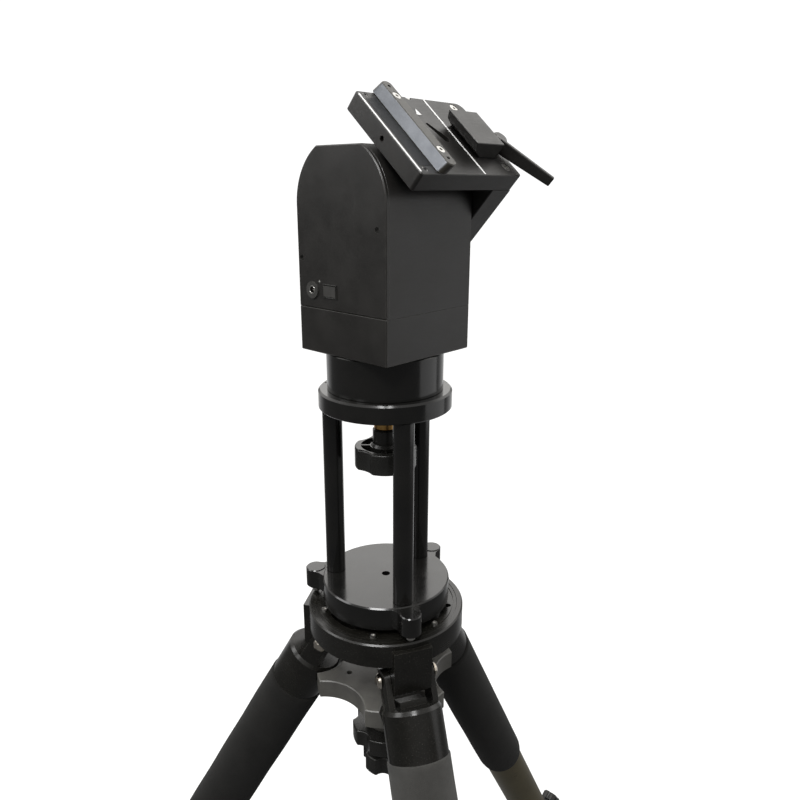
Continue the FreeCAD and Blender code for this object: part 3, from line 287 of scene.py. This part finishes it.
finishes = {
    "satin_black": coatedMetal("satinBlack", satinBlack),
    "gloss_black": coatedMetal("glossBlack", glossBlack),
    "cast_black": coatedMetal("castBlack", castBlack),
    "bare_aluminium": coatedMetal("barGrey", barGrey),
    "leg_tube": coatedMetal("tubeKhaki", tubeKhaki),
    "knob_black": mouldedPlastic("knobBlack", {
        "dark": (0.011, 0.011, 0.010), "light": (0.018, 0.0175, 0.0160), "rough": 0.27, "pebbleScale": 900.0,
        "pebbleDepth": 0.12}),
    "clamp_plastic": mouldedPlastic("clampPlastic", {
        "dark": (0.008, 0.008, 0.008), "light": (0.014, 0.0135, 0.013), "rough": 0.45,
        "pebbleScale": 1400.0, "pebbleDepth": 0.25}),
    "switch_plastic": mouldedPlastic("switchPlastic", {
        "dark": (0.034, 0.033, 0.031), "light": (0.05, 0.049, 0.046), "rough": 0.4, "pebbleScale": 2000.0,
        "pebbleDepth": 0.15}),
    "foot_rubber": mouldedPlastic("footRubber", {
        "dark": (0.008, 0.008, 0.008), "light": (0.016, 0.016, 0.0155), "rough": 0.7, "pebbleScale": 700.0,
        "pebbleDepth": 0.5, "specular": 0.3}),
    "board_green": mouldedPlastic("boardGreen", {
        "dark": (0.012, 0.09, 0.03), "light": (0.02, 0.13, 0.045), "rough": 0.35, "pebbleScale": 1200.0,
        "pebbleDepth": 0.1}),
    "steel_screws": bareMetal("screwSteel", {
        "dark": (0.46, 0.45, 0.43), "light": (0.78, 0.77, 0.74), "rough": 0.34,
        "lineScale": (900.0, 900.0, 900.0), "lineDepth": 0.2}),
    "nickel_pins": bareMetal("pinNickel", {
        "dark": (0.50, 0.44, 0.36), "light": (0.80, 0.76, 0.70), "rough": 0.12,
        "lineScale": (300.0, 300.0, 300.0), "lineDepth": 0.06}),
    "steel_rod": bareMetal("rodSteel", {
        "dark": (0.36, 0.35, 0.33), "light": (0.60, 0.59, 0.57), "rough": 0.28,
        "lineScale": (60.0, 60.0, 2400.0), "lineDepth": 0.25}),
    "brass": bareMetal("collarBrass", {
        "dark": (0.45, 0.24, 0.07), "light": (0.72, 0.45, 0.16), "rough": 0.26,
        "lineScale": (80.0, 80.0, 2600.0), "lineDepth": 0.25}),
    "drive_steel": bareMetal("driveSteel", {
        "dark": (0.34, 0.34, 0.34), "light": (0.55, 0.55, 0.55), "rough": 0.3,
        "lineScale": (700.0, 700.0, 700.0), "lineDepth": 0.2}),
    "drive_aluminium": bareMetal("driveAluminium", {
        "dark": (0.5, 0.5, 0.5), "light": (0.7, 0.7, 0.7), "rough": 0.34,
        "lineScale": (500.0, 500.0, 500.0), "lineDepth": 0.2}),
    "foam": foamRubber("gripFoam", {
        "dark": (0.0075, 0.0073, 0.0066), "light": (0.0135, 0.0131, 0.0120), "poreShade": (0.003, 0.003, 0.003),
        "cellScale": 1500.0, "sheen": 0.08}),
    # front grip: the same foam as the others, with its base colour about five times lighter as painted light on
    # the grip facing the lamps
    "foam_front": foamRubber("gripFoamFrontLit", {
        "dark": (0.044, 0.043, 0.040), "light": (0.064, 0.063, 0.059), "poreShade": (0.018, 0.018, 0.018),
        "cellScale": 1500.0, "sheen": 0.15}),
}
for entry in frame["record"]["subparts"]:
    for holder in nodes[entry["node"]].material_slots:
        holder.material = finishes[entry["material_slot"]]
# the spreader takes the lighter black copy: painted light
nodes["spreader_star"].material_slots[0].material = coatedMetal("spreaderBlackLit", spreaderBlackLit)


# materials of the added pieces
def paint(name, dark, light, rough):
    # hand-filled paint: slightly uneven tone and surface
    material, tree, shader = newMaterial(name, {"IOR": 1.5, "Specular IOR Level": 0.5})
    space = objectSpace(tree)
    cloud = noiseOf(tree, space, 350.0, 3.0, 0.6)
    tree.links.new(mixColour(tree, rangeOf(tree, cloud, 0.3, 0.7, 0.0, 1.0), dark, light),
                   shader.inputs["Base Color"])
    tree.links.new(rangeOf(tree, cloud, 0.3, 0.7, rough - 0.06, rough + 0.06), shader.inputs["Roughness"])
    tree.links.new(bumpOf(tree, cloud, 0.2, 0.00015), shader.inputs["Normal"])
    return material


def hatchedShadedBlack(name, turn, pitch):
    # machined band: fine slanting tool lines; the band's black, deeper than the deck's, is painted shade
    material, tree, shader = newMaterial(name, {"IOR": 1.5, "Specular IOR Level": 0.22})
    wave = addNode(tree, "ShaderNodeTexWave", bands_direction="X")
    wave.inputs["Scale"].default_value = 1.0
    wave.inputs["Distortion"].default_value = 0.6
    tree.links.new(objectSpace(tree, (0.31 / pitch, 0.31 / pitch, 0.31 / pitch), turn), wave.inputs["Vector"])
    # lines run from near black to dark grey; the near black is painted shade of the deck beside the bar
    colour = mixColour(tree, wave.outputs["Fac"], (0.001, 0.001, 0.0012), (0.016, 0.0165, 0.018))
    tree.links.new(colour, shader.inputs["Base Color"])
    tree.links.new(rangeOf(tree, wave.outputs["Fac"], 0.0, 1.0, 0.34, 0.5), shader.inputs["Roughness"])
    tree.links.new(bumpOf(tree, wave.outputs["Fac"], 0.6, 0.0002), shader.inputs["Normal"])
    return material


def machinedBar(name, look):
    # fixed jaw bar: slanted face coloured bright as a painted reflection of the light, darker brown-grey elsewhere
    material, tree, shader = newMaterial(name, {"IOR": 1.5, "Specular IOR Level": 0.5})
    place = addNode(tree, "ShaderNodeTexCoord")
    facing = addNode(tree, "ShaderNodeVectorMath", operation="DOT_PRODUCT")
    facing.inputs[1].default_value = look["facing"]
    tree.links.new(place.outputs["Normal"], facing.inputs[0])
    # faces turned like the slanted face get the bright colours: painted reflection
    litSlant = rangeOf(tree, facing.outputs["Value"], 0.90, 0.985, 0.0, 1.0)
    space = objectSpace(tree)
    cloud = noiseOf(tree, space, 60.0, 4.0, 0.6)
    lines = noiseOf(tree, objectSpace(tree, (1.0, 14.0, 14.0)), 90.0, 3.0, 0.6)
    bright = mixColour(tree, rangeOf(tree, cloud, 0.3, 0.7, 0.0, 1.0), look["bright"], look["brightToo"])
    dark = mixColour(tree, rangeOf(tree, cloud, 0.3, 0.7, 0.0, 1.0), look["dark"], look["darkToo"])
    base = mixColour(tree, litSlant, dark, bright)
    # pale rims: part wear, part painted edge highlight
    wearAndHighlightEdges = mathOf(tree, "MULTIPLY", edgesOf(tree, 0.0005), 0.5)
    tree.links.new(mixColour(tree, wearAndHighlightEdges, base, look["edge"]), shader.inputs["Base Color"])
    tree.links.new(mathOf(tree, "MULTIPLY", litSlant, 0.8), shader.inputs["Metallic"])
    tree.links.new(rangeOf(tree, lines, 0.3, 0.7, 0.33, 0.43), shader.inputs["Roughness"])
    tree.links.new(bumpOf(tree, lines, 0.15, 0.00012), shader.inputs["Normal"])
    return material


# saddle directions: across along the altitude axis, outward from the deck, uphill along the slope
across = Vector(joints["jaw_slide"]["axis"])
outward = Vector(joints["clamp_swing"]["axis"])
uphill = outward.cross(across)
axisSpot = Vector(joints["altitude_tilt"]["pos_m"])
leverSpot = Vector(joints["clamp_swing"]["pos_m"])
deckHigh = (leverSpot - axisSpot).dot(outward) - 0.0004


def inSaddle(v, u, w=0.0):
    # v across, u up the slope, w above the deck, all in metres
    return axisSpot + across * v + uphill * u + outward * (deckHigh + w)


saddlePlace = frameOf(inSaddle(0.0, 0.0), across, outward)


def prism(name, corners, low, high, place, bevel=0.0):
    # a flat piece: outline in a placement's own x and y, raised from low to high
    bm = bmesh.new()
    under = bm.faces.new([bm.verts.new((x, y, low)) for x, y in corners])
    raised = bmesh.ops.extrude_face_region(bm, geom=[under], use_keep_orig=True)["geom"]
    over = [item for item in raised if isinstance(item, bmesh.types.BMVert)]
    bmesh.ops.translate(bm, verts=over, vec=(0.0, 0.0, high - low))
    if bevel:
        rim = [edge for edge in bm.edges if all(vert in over for vert in edge.verts)]
        bmesh.ops.bevel(bm, geom=rim, offset=bevel, offset_type="OFFSET", segments=2, profile=0.5,
                        affect="EDGES", material=-1, clamp_overlap=True)
    bmesh.ops.transform(bm, matrix=place, verts=bm.verts)
    return finishMesh(bm, name, smooth=False, weld=1e-7)


def turnedPiece(name, outline, place, steps=48, smooth=35.0):
    # outline of (radius, height) pairs spun about the z axis of a placement
    bm = bmesh.new()
    points = [bm.verts.new((radius, 0.0, height)) for radius, height in outline]
    for first, second in zip(points, points[1:]):
        bm.edges.new((first, second))
    bmesh.ops.spin(bm, geom=bm.verts[:] + bm.edges[:], axis=(0, 0, 1), cent=(0, 0, 0),
                   angle=2 * math.pi, steps=steps, use_merge=True)
    bmesh.ops.transform(bm, matrix=place, verts=bm.verts)
    piece = finishMesh(bm, name, weld=1e-7)
    piece.data.set_sharp_from_angle(angle=math.radians(smooth))
    return piece


def wear(piece, material, body):
    piece.data.materials.append(material)
    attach(piece, body)
    return piece


whitePaint = paint("whitePaint", (0.78, 0.78, 0.77), (0.9, 0.9, 0.89), 0.45)
lampGrey = paint("lampGrey", (0.10, 0.10, 0.095), (0.17, 0.17, 0.16), 0.2)

# painted index lines and arrow on the deck
deckMarks = {
    "rise": 0.0002, "sunk": 0.00005, "lineWide": 0.0020, "leftLine": (-0.0539, -0.0515, 0.0485),
    "rightLine": (0.0350, -0.0534, 0.0508), "arrow": ((0.0098, 0.0345), (0.0122, 0.0262), (0.0050, 0.0262)),
}


def makeDeckMarks(marks):
    for number, (v, low, high) in enumerate((marks["leftLine"], marks["rightLine"]), start=1):
        half = marks["lineWide"] / 2
        corners = [(v - half, low + half)]
        corners += [(v + half * math.cos(turn), low + half + half * math.sin(turn))
                    for turn in (math.radians(angle) for angle in range(-150, 1, 30))]
        corners += [(v + half * math.cos(turn), high - half + half * math.sin(turn))
                    for turn in (math.radians(angle) for angle in range(0, 181, 30))]
        line = prism("paintLine_%d" % number, corners, -marks["sunk"], marks["rise"], saddlePlace)
        wear(line, whitePaint, "saddle")
    arrow = prism("paintArrow", marks["arrow"], -marks["sunk"], marks["rise"], saddlePlace)
    wear(arrow, whitePaint, "saddle")


# hatched band beside the fixed bar, darkened with painted shade
deckBand = {"corners": ((-0.0498, -0.0440), (-0.0350, -0.0440), (-0.0350, 0.0445), (-0.0498, 0.0415)),
            "sunk": 0.0003, "rise": 0.0002, "bevel": 0.00015, "slant": 35.0, "pitch": 0.0011}


def makeDeckBand(band):
    piece = prism("gripBand", band["corners"], -band["sunk"], band["rise"], saddlePlace, band["bevel"])
    slant = (0.0, 0.0, math.radians(band["slant"]))
    wear(piece, hatchedShadedBlack("hatchedShadedBlack", slant, band["pitch"]), "saddle")


# locating pin in the notch at the deck's back edge
notchPin = {"at": (0.0132, 0.0500), "radius": 0.0019, "low": -0.0150, "high": -0.0006, "chamfer": 0.0005}


def makeNotchPin(pin):
    place = frameOf(inSaddle(*pin["at"]), across, outward)
    radius, chamfer = pin["radius"], pin["chamfer"]
    piece = turnedPiece("notchPin", [
        (0.0, pin["low"]), (radius, pin["low"]), (radius, pin["high"] - chamfer),
        (radius - chamfer, pin["high"]), (0.0, pin["high"]),
    ], place, 32)
    wear(piece, finishes["steel_rod"], "saddle")


# blackened grub screws over the two left corner screws
blackScrews = {"at": ((-0.0460, -0.0480), (-0.0460, 0.0480)), "radius": 0.0025, "key": 0.0011,
               "top": -0.0002, "keyDepth": 0.0014, "chamfer": 0.0004, "long": 0.0022}


def makeBlackScrews(look):
    radius, key, top = look["radius"], look["key"], look["top"]
    outline = [
        (0.0, top - look["keyDepth"] - 0.0002), (key, top - look["keyDepth"]), (key, top - 0.0002),
        (key + 0.0002, top), (radius - look["chamfer"], top), (radius, top - look["chamfer"]),
        (radius, top - look["long"]), (0.0, top - look["long"]),
    ]
    for number, spot in enumerate(look["at"], start=1):
        piece = turnedPiece("blackScrew_%d" % number, outline,
                            frameOf(inSaddle(*spot), across, outward), 32)
        wear(piece, finishes["gloss_black"], "saddle")


makeBlackScrews(blackScrews)
makeDeckMarks(deckMarks)
makeDeckBand(deckBand)
makeNotchPin(notchPin)
# the bar's slanted face is made bright by the way it faces: painted reflection
finishes["bar"] = machinedBar("machinedBar", {
    "facing": tuple(across * -0.883 + outward * 0.470), "bright": (0.125, 0.132, 0.144),
    "brightToo": (0.175, 0.184, 0.199), "dark": (0.020, 0.018, 0.014), "darkToo": (0.03, 0.027, 0.021),
    "edge": (0.45, 0.45, 0.46),
})
for holder in nodes["fixed_jaw"].material_slots:
    holder.material = finishes["bar"]
print("saddle details done")


# small fittings on the side cover
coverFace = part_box("side_cover")[0].x
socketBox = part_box("power_socket")
socketSpot = (socketBox[0] + socketBox[1]) / 2
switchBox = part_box("power_switch")
switchSpot = (switchBox[0] + switchBox[1]) / 2


def onCover(y, z):
    # a placement on the cover whose z points out of it
    return frameOf((coverFace, y, z), (0, 1, 0), (-1, 0, 0))


# steel sleeve and centre pin of the power socket, as (radius, out of the cover)
socketTrim = {
    "sleeve": [(0.0031, -0.0090), (0.0031, 0.0012), (0.0034, 0.0016), (0.0043, 0.0016), (0.0046, 0.0012),
               (0.0046, -0.0005), (0.0040, -0.0005), (0.0040, -0.0090), (0.0031, -0.0090)],
    "pin": [(0.0, -0.0085), (0.0011, -0.0085), (0.0011, -0.0008), (0.0007, -0.0002), (0.0, 0.0)],
}


def makeSocketTrim(trim):
    place = onCover(socketSpot.y, socketSpot.z)
    wear(turnedPiece("socketSleeve", trim["sleeve"], place, 40), finishes["steel_rod"], "head")
    wear(turnedPiece("socketPin", trim["pin"], place, 24), finishes["steel_rod"], "head")


# small domed lens of the power lamp
lampLook = {
    "side": 0.0302, "rise": 0.1146,
    "outline": [(0.0, 0.0009), (0.0006, 0.0008), (0.0011, 0.0005), (0.0014, 0.0001), (0.00155, -0.0004),
                (0.00155, -0.0030), (0.0, -0.0030)],
}


def makeLampLens(look):
    place = onCover(look["side"], pierTop + look["rise"])
    wear(turnedPiece("lampLens", look["outline"], place, 28, 80.0), lampGrey, "head")


# dark frame standing proud round the rocker
bezelShape = {"reach": 0.0016, "wall": 0.0011, "foot": -0.0004, "proud": 0.0008, "floor": -0.0020,
              "bevel": 0.00025, "longEdge": 0.004}


def raiseFaces(bm, faces, rise):
    # pull flat faces along z, walls behind them, and drop the ones they leave
    made = bmesh.ops.extrude_face_region(bm, geom=faces)["geom"]
    moved = [item for item in made if isinstance(item, bmesh.types.BMVert)]
    bmesh.ops.translate(bm, verts=moved, vec=(0.0, 0.0, rise))
    bmesh.ops.delete(bm, geom=[face for face in faces if face.is_valid], context="FACES_ONLY")
    return [item for item in made if isinstance(item, bmesh.types.BMFace)]


def makeSwitchBezel(shape):
    half = (switchBox[1] - switchBox[0]) / 2
    bm = bmesh.new()
    foot = bmesh.ops.create_grid(bm, x_segments=1, y_segments=1, size=1.0)["verts"]
    bmesh.ops.scale(bm, verts=foot, vec=(half.y + shape["reach"], half.z + shape["reach"], 1.0))
    bmesh.ops.translate(bm, verts=foot, vec=(0.0, 0.0, shape["foot"]))
    top = raiseFaces(bm, list(bm.faces), shape["proud"] - shape["foot"])
    bmesh.ops.inset_region(bm, faces=top, thickness=shape["wall"], use_even_offset=True)
    floor = raiseFaces(bm, top, shape["floor"] - shape["proud"])
    bmesh.ops.delete(bm, geom=floor, context="FACES_ONLY")
    rim = [edge for edge in bm.edges if edge.calc_length() > shape["longEdge"]]
    bmesh.ops.bevel(bm, geom=rim, offset=shape["bevel"], offset_type="OFFSET", segments=2, profile=0.5,
                    affect="EDGES", material=-1, clamp_overlap=True)
    bmesh.ops.transform(bm, matrix=onCover(switchSpot.y, switchSpot.z), verts=bm.verts)
    wear(finishMesh(bm, "switchBezel", smooth=False, weld=1e-7), finishes["knob_black"], "head")


makeSocketTrim(socketTrim)
makeLampLens(lampLook)
makeSwitchBezel(bezelShape)
print("cover fittings done")

# foam grips: turned sleeves with a soft lower end and a slightly uneven skin
gripShape = {"radius": 0.0353, "bore": 0.0302, "start": 0.0845, "end": 0.4198, "rounding": 0.0125,
             "lip": 0.0012, "uneven": 0.00035, "skin": 0.004, "rings": 56, "steps": 72}


def legPlace(number):
    # frame of a leg at rest: origin at its pivot, z down the leg
    pivot = Vector(joints["leg_%d_fold" % number]["pos_m"])
    down = Vector(joints["leg_%d_extend" % number]["axis"])
    out = Vector((pivot.x, pivot.y, 0.0))
    return frameOf(pivot, out, down)


def wobble(x, y, z, seed):
    # gentle lumps from a few sines
    return (math.sin(x * 97.0 + seed) * math.sin(y * 83.0 + seed * 1.7)
            + 0.6 * math.sin(z * 61.0 + seed * 2.3) * math.sin(x * 45.0 - y * 52.0 + seed))


def makeGrip(number, shape):
    place = legPlace(number)
    radius, bore = shape["radius"], shape["bore"]
    outline = [(bore, shape["start"]), (radius - shape["lip"], shape["start"]),
               (radius, shape["start"] + shape["lip"])]
    run = shape["end"] - shape["rounding"] - shape["start"] - shape["lip"]
    outline += [(radius, shape["start"] + shape["lip"] + run * step / shape["rings"])
                for step in range(1, shape["rings"] + 1)]
    depth = min(shape["rounding"], radius - bore)
    for step in range(1, 9):
        angle = math.pi / 2 * step / 8
        outline.append((radius - depth * (1 - math.cos(angle)),
                        shape["end"] - shape["rounding"] * (1 - math.sin(angle))))
    outline += [(bore, shape["end"]), (bore, shape["start"])]
    piece = turnedPiece("softGrip_%d" % number, outline, place, shape["steps"], 60.0)
    inverse = place.inverted()
    for vert in piece.data.vertices:
        local = inverse @ vert.co
        side = Vector((local.x, local.y, 0.0))
        if side.length > bore + shape["skin"]:
            push = shape["uneven"] * wobble(local.x, local.y, local.z, number * 3.1)
            vert.co = place @ (local + side.normalized() * (push - shape["uneven"]))
    # the front grip takes the lighter foam copy: painted light, not a different foam
    wear(piece, finishes["foam_front" if number == 1 else "foam"], "leg_%d" % number)
    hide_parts("foam_grip_%d" % number)


# ribs round the rubber feet and the leg clamps
legTrim = {"footAt": (0.7920, 0.7975, 0.8030), "footRadius": 0.0300, "footRib": 0.0010,
           "clampAt": (0.7165, 0.7235), "clampRadius": 0.0350, "clampRib": 0.0009}


def makeRibs(name, place, heights, radius, rib, material, body):
    bm = bmesh.new()
    for height in heights:
        ring = bmesh.ops.create_circle(bm, cap_ends=False, segments=12, radius=rib)["verts"]
        bmesh.ops.rotate(bm, verts=ring, cent=(0, 0, 0), matrix=Matrix.Rotation(math.pi / 2, 3, "X"))
        bmesh.ops.translate(bm, verts=ring, vec=(radius, 0, height))
        edges = list({edge for vert in ring for edge in vert.link_edges})
        bmesh.ops.spin(bm, geom=ring + edges, axis=(0, 0, 1), cent=(0, 0, 0), angle=2 * math.pi,
                       steps=64, use_merge=True)
    bmesh.ops.transform(bm, matrix=place, verts=bm.verts)
    wear(finishMesh(bm, name, weld=1e-7), material, body)


for number in (1, 2, 3):
    makeGrip(number, gripShape)
    makeRibs("footRibs_%d" % number, legPlace(number), legTrim["footAt"], legTrim["footRadius"],
             legTrim["footRib"], finishes["foot_rubber"], "lower_leg_%d" % number)
    makeRibs("clampRibs_%d" % number, legPlace(number), legTrim["clampAt"], legTrim["clampRadius"],
             legTrim["clampRib"], finishes["clamp_plastic"], "leg_%d" % number)
print("legs dressed")


# camera, floor and light
cameraPlace = {"back": (-0.5217, -0.5061, 0.2076), "ahead": (0.7328, 0.6805), "down": 17.05, "roll": 0.16,
               "lens": 31.72}


def makeCamera(place):
    data = bpy.data.cameras.new("viewCamera")
    data.lens = place["lens"]
    data.sensor_width = 36.0
    data.clip_start = 0.02
    data.clip_end = 200.0
    camera = bpy.data.objects.new("viewCamera", data)
    scene.collection.objects.link(camera)
    fall = math.radians(place["down"])
    ahead = Vector((place["ahead"][0] * math.cos(fall), place["ahead"][1] * math.cos(fall), -math.sin(fall)))
    turn = ahead.to_track_quat("-Z", "Y").to_matrix().to_4x4()
    roll = Matrix.Rotation(math.radians(place["roll"]), 4, "Z")
    spot = Vector(place["back"]) + Vector((0.0, 0.0, pierTop))
    camera.matrix_world = Matrix.Translation(spot) @ turn @ roll
    scene.camera = camera


floorLook = {"radius": 40.0, "grey": (0.40, 0.44), "shown": 0.72, "dim": 0.13, "strip": 0.9,
             "stripWide": (0.15, 1.5), "stripFrom": (0.2, 1.6)}


def makeFloor(look):
    # white to the eye; to the object it is dark but for a strip straight behind
    bm = bmesh.new()
    bmesh.ops.create_circle(bm, cap_ends=True, segments=96, radius=look["radius"])
    floor = finishMesh(bm, "floor", smooth=False)
    material, tree, shader = newMaterial("paleFloor", {"Roughness": 0.9, "Specular IOR Level": 0.0})
    speckle = noiseOf(tree, objectSpace(tree), 40.0, 3.0, 0.6)
    colour = mixColour(tree, speckle, (look["grey"][0],) * 3, (look["grey"][1],) * 3)
    tree.links.new(colour, shader.inputs["Base Color"])
    glow = addNode(tree, "ShaderNodeEmission")
    glow.inputs["Strength"].default_value = look["shown"]
    shown = addNode(tree, "ShaderNodeAddShader")
    tree.links.new(shader.outputs["BSDF"], shown.inputs[0])
    tree.links.new(glow.outputs["Emission"], shown.inputs[1])
    along = addNode(tree, "ShaderNodeVectorMath", operation="DOT_PRODUCT")
    along.inputs[1].default_value = (cameraPlace["ahead"][0], cameraPlace["ahead"][1], 0.0)
    tree.links.new(objectSpace(tree), along.inputs[0])
    aside = addNode(tree, "ShaderNodeVectorMath", operation="DOT_PRODUCT")
    aside.inputs[1].default_value = (cameraPlace["ahead"][1], -cameraPlace["ahead"][0], 0.0)
    tree.links.new(objectSpace(tree), aside.inputs[0])
    spread = mathOf(tree, "DIVIDE", mathOf(tree, "ABSOLUTE", aside.outputs["Value"], 0.0),
                   mathOf(tree, "MAXIMUM", along.outputs["Value"], 0.01))
    strip = mathOf(tree, "MULTIPLY", rangeOf(tree, spread, *look["stripWide"], 1.0, 0.0),
                  rangeOf(tree, along.outputs["Value"], *look["stripFrom"], 0.0, 1.0))
    felt = addNode(tree, "ShaderNodeEmission")
    tree.links.new(rangeOf(tree, strip, 0.0, 1.0, look["dim"], look["strip"]), felt.inputs["Strength"])
    rays = addNode(tree, "ShaderNodeLightPath")
    blend = addNode(tree, "ShaderNodeMixShader")
    tree.links.new(rays.outputs["Is Camera Ray"], blend.inputs["Fac"])
    tree.links.new(felt.outputs["Emission"], blend.inputs[1])
    tree.links.new(shown.outputs["Shader"], blend.inputs[2])
    tree.links.new(blend.outputs["Shader"], tree.nodes["Material Output"].inputs["Surface"])
    floor.data.materials.append(material)


def makeSoftbox(name, spot, aim, size, power):
    data = bpy.data.lights.new(name, "AREA")
    data.shape = "RECTANGLE"
    data.size, data.size_y = size
    data.energy = power
    light = bpy.data.objects.new(name, data)
    scene.collection.objects.link(light)
    light.matrix_world = (Matrix.Translation(Vector(spot))
                          @ (Vector(aim) - Vector(spot)).to_track_quat("-Z", "Y").to_matrix().to_4x4())
    light.visible_camera = False
    return light


def makeWorld(look):
    # white to the eye; the object sees a bright ceiling, brighter behind it, and dark walls
    world = bpy.data.worlds.new("studio")
    scene.world = world
    world.use_nodes = True
    tree = world.node_tree
    felt = tree.nodes["Background"]
    shown = addNode(tree, "ShaderNodeBackground")
    shown.inputs["Color"].default_value = (1.0, 1.0, 1.0, 1.0)
    shown.inputs["Strength"].default_value = 1.1
    place = addNode(tree, "ShaderNodeTexCoord")
    split = addNode(tree, "ShaderNodeSeparateXYZ")
    tree.links.new(place.outputs["Generated"], split.inputs["Vector"])
    ahead = addNode(tree, "ShaderNodeVectorMath", operation="DOT_PRODUCT")
    ahead.inputs[1].default_value = (cameraPlace["ahead"][0], cameraPlace["ahead"][1], 0.0)
    tree.links.new(place.outputs["Generated"], ahead.inputs[0])
    ceiling = rangeOf(tree, split.outputs["Z"], look["wallTop"], look["ceiling"], 0.0, 1.0)
    behind = rangeOf(tree, ahead.outputs["Value"], 0.2, 0.95, look["near"], look["far"])
    strength = mathOf(tree, "ADD", mathOf(tree, "MULTIPLY", ceiling, behind), look["wall"])
    tree.links.new(strength, felt.inputs["Strength"])
    felt.inputs["Color"].default_value = (1.0, 0.985, 0.96, 1.0)
    rays = addNode(tree, "ShaderNodeLightPath")
    blend = addNode(tree, "ShaderNodeMixShader")
    tree.links.new(rays.outputs["Is Camera Ray"], blend.inputs["Fac"])
    tree.links.new(felt.outputs["Background"], blend.inputs[1])
    tree.links.new(shown.outputs["Background"], blend.inputs[2])
    tree.links.new(blend.outputs["Shader"], tree.nodes["World Output"].inputs["Surface"])


# sky strengths: dark walls, a ceiling that brightens behind the object
skyLook = {"wallTop": 0.0, "ceiling": 0.5, "near": 0.6, "far": 2.7, "wall": 0.06}
# x, y, height over the pier, height aimed at, size, watts
softboxes = {
    "keyBox": (-0.99, -0.47, 1.23, pierTop, (0.6, 0.45), 15.0),
    "topBox": (-0.42, -0.40, 1.75, pierTop, (0.45, 0.45), 9.0),
    "leftBox": (-1.9, 0.15, 0.85, pierTop, (0.5, 0.9), 3.8),
    "leftWing": (-0.95, 0.85, 0.75, axisHigh, (0.6, 0.6), 4.5),
    "rightWing": (1.1, -1.0, 0.12, axisHigh, (1.3, 1.4), 4.0),
}

makeCamera(cameraPlace)
makeFloor(floorLook)
makeWorld(skyLook)
for name, (x, y, rise, aimHigh, size, power) in softboxes.items():
    makeSoftbox(name, (x, y, pierTop + rise), (0.0, 0.0, aimHigh), size, power)
scene.view_settings.view_transform = "Standard"
print("camera, floor and light in place")
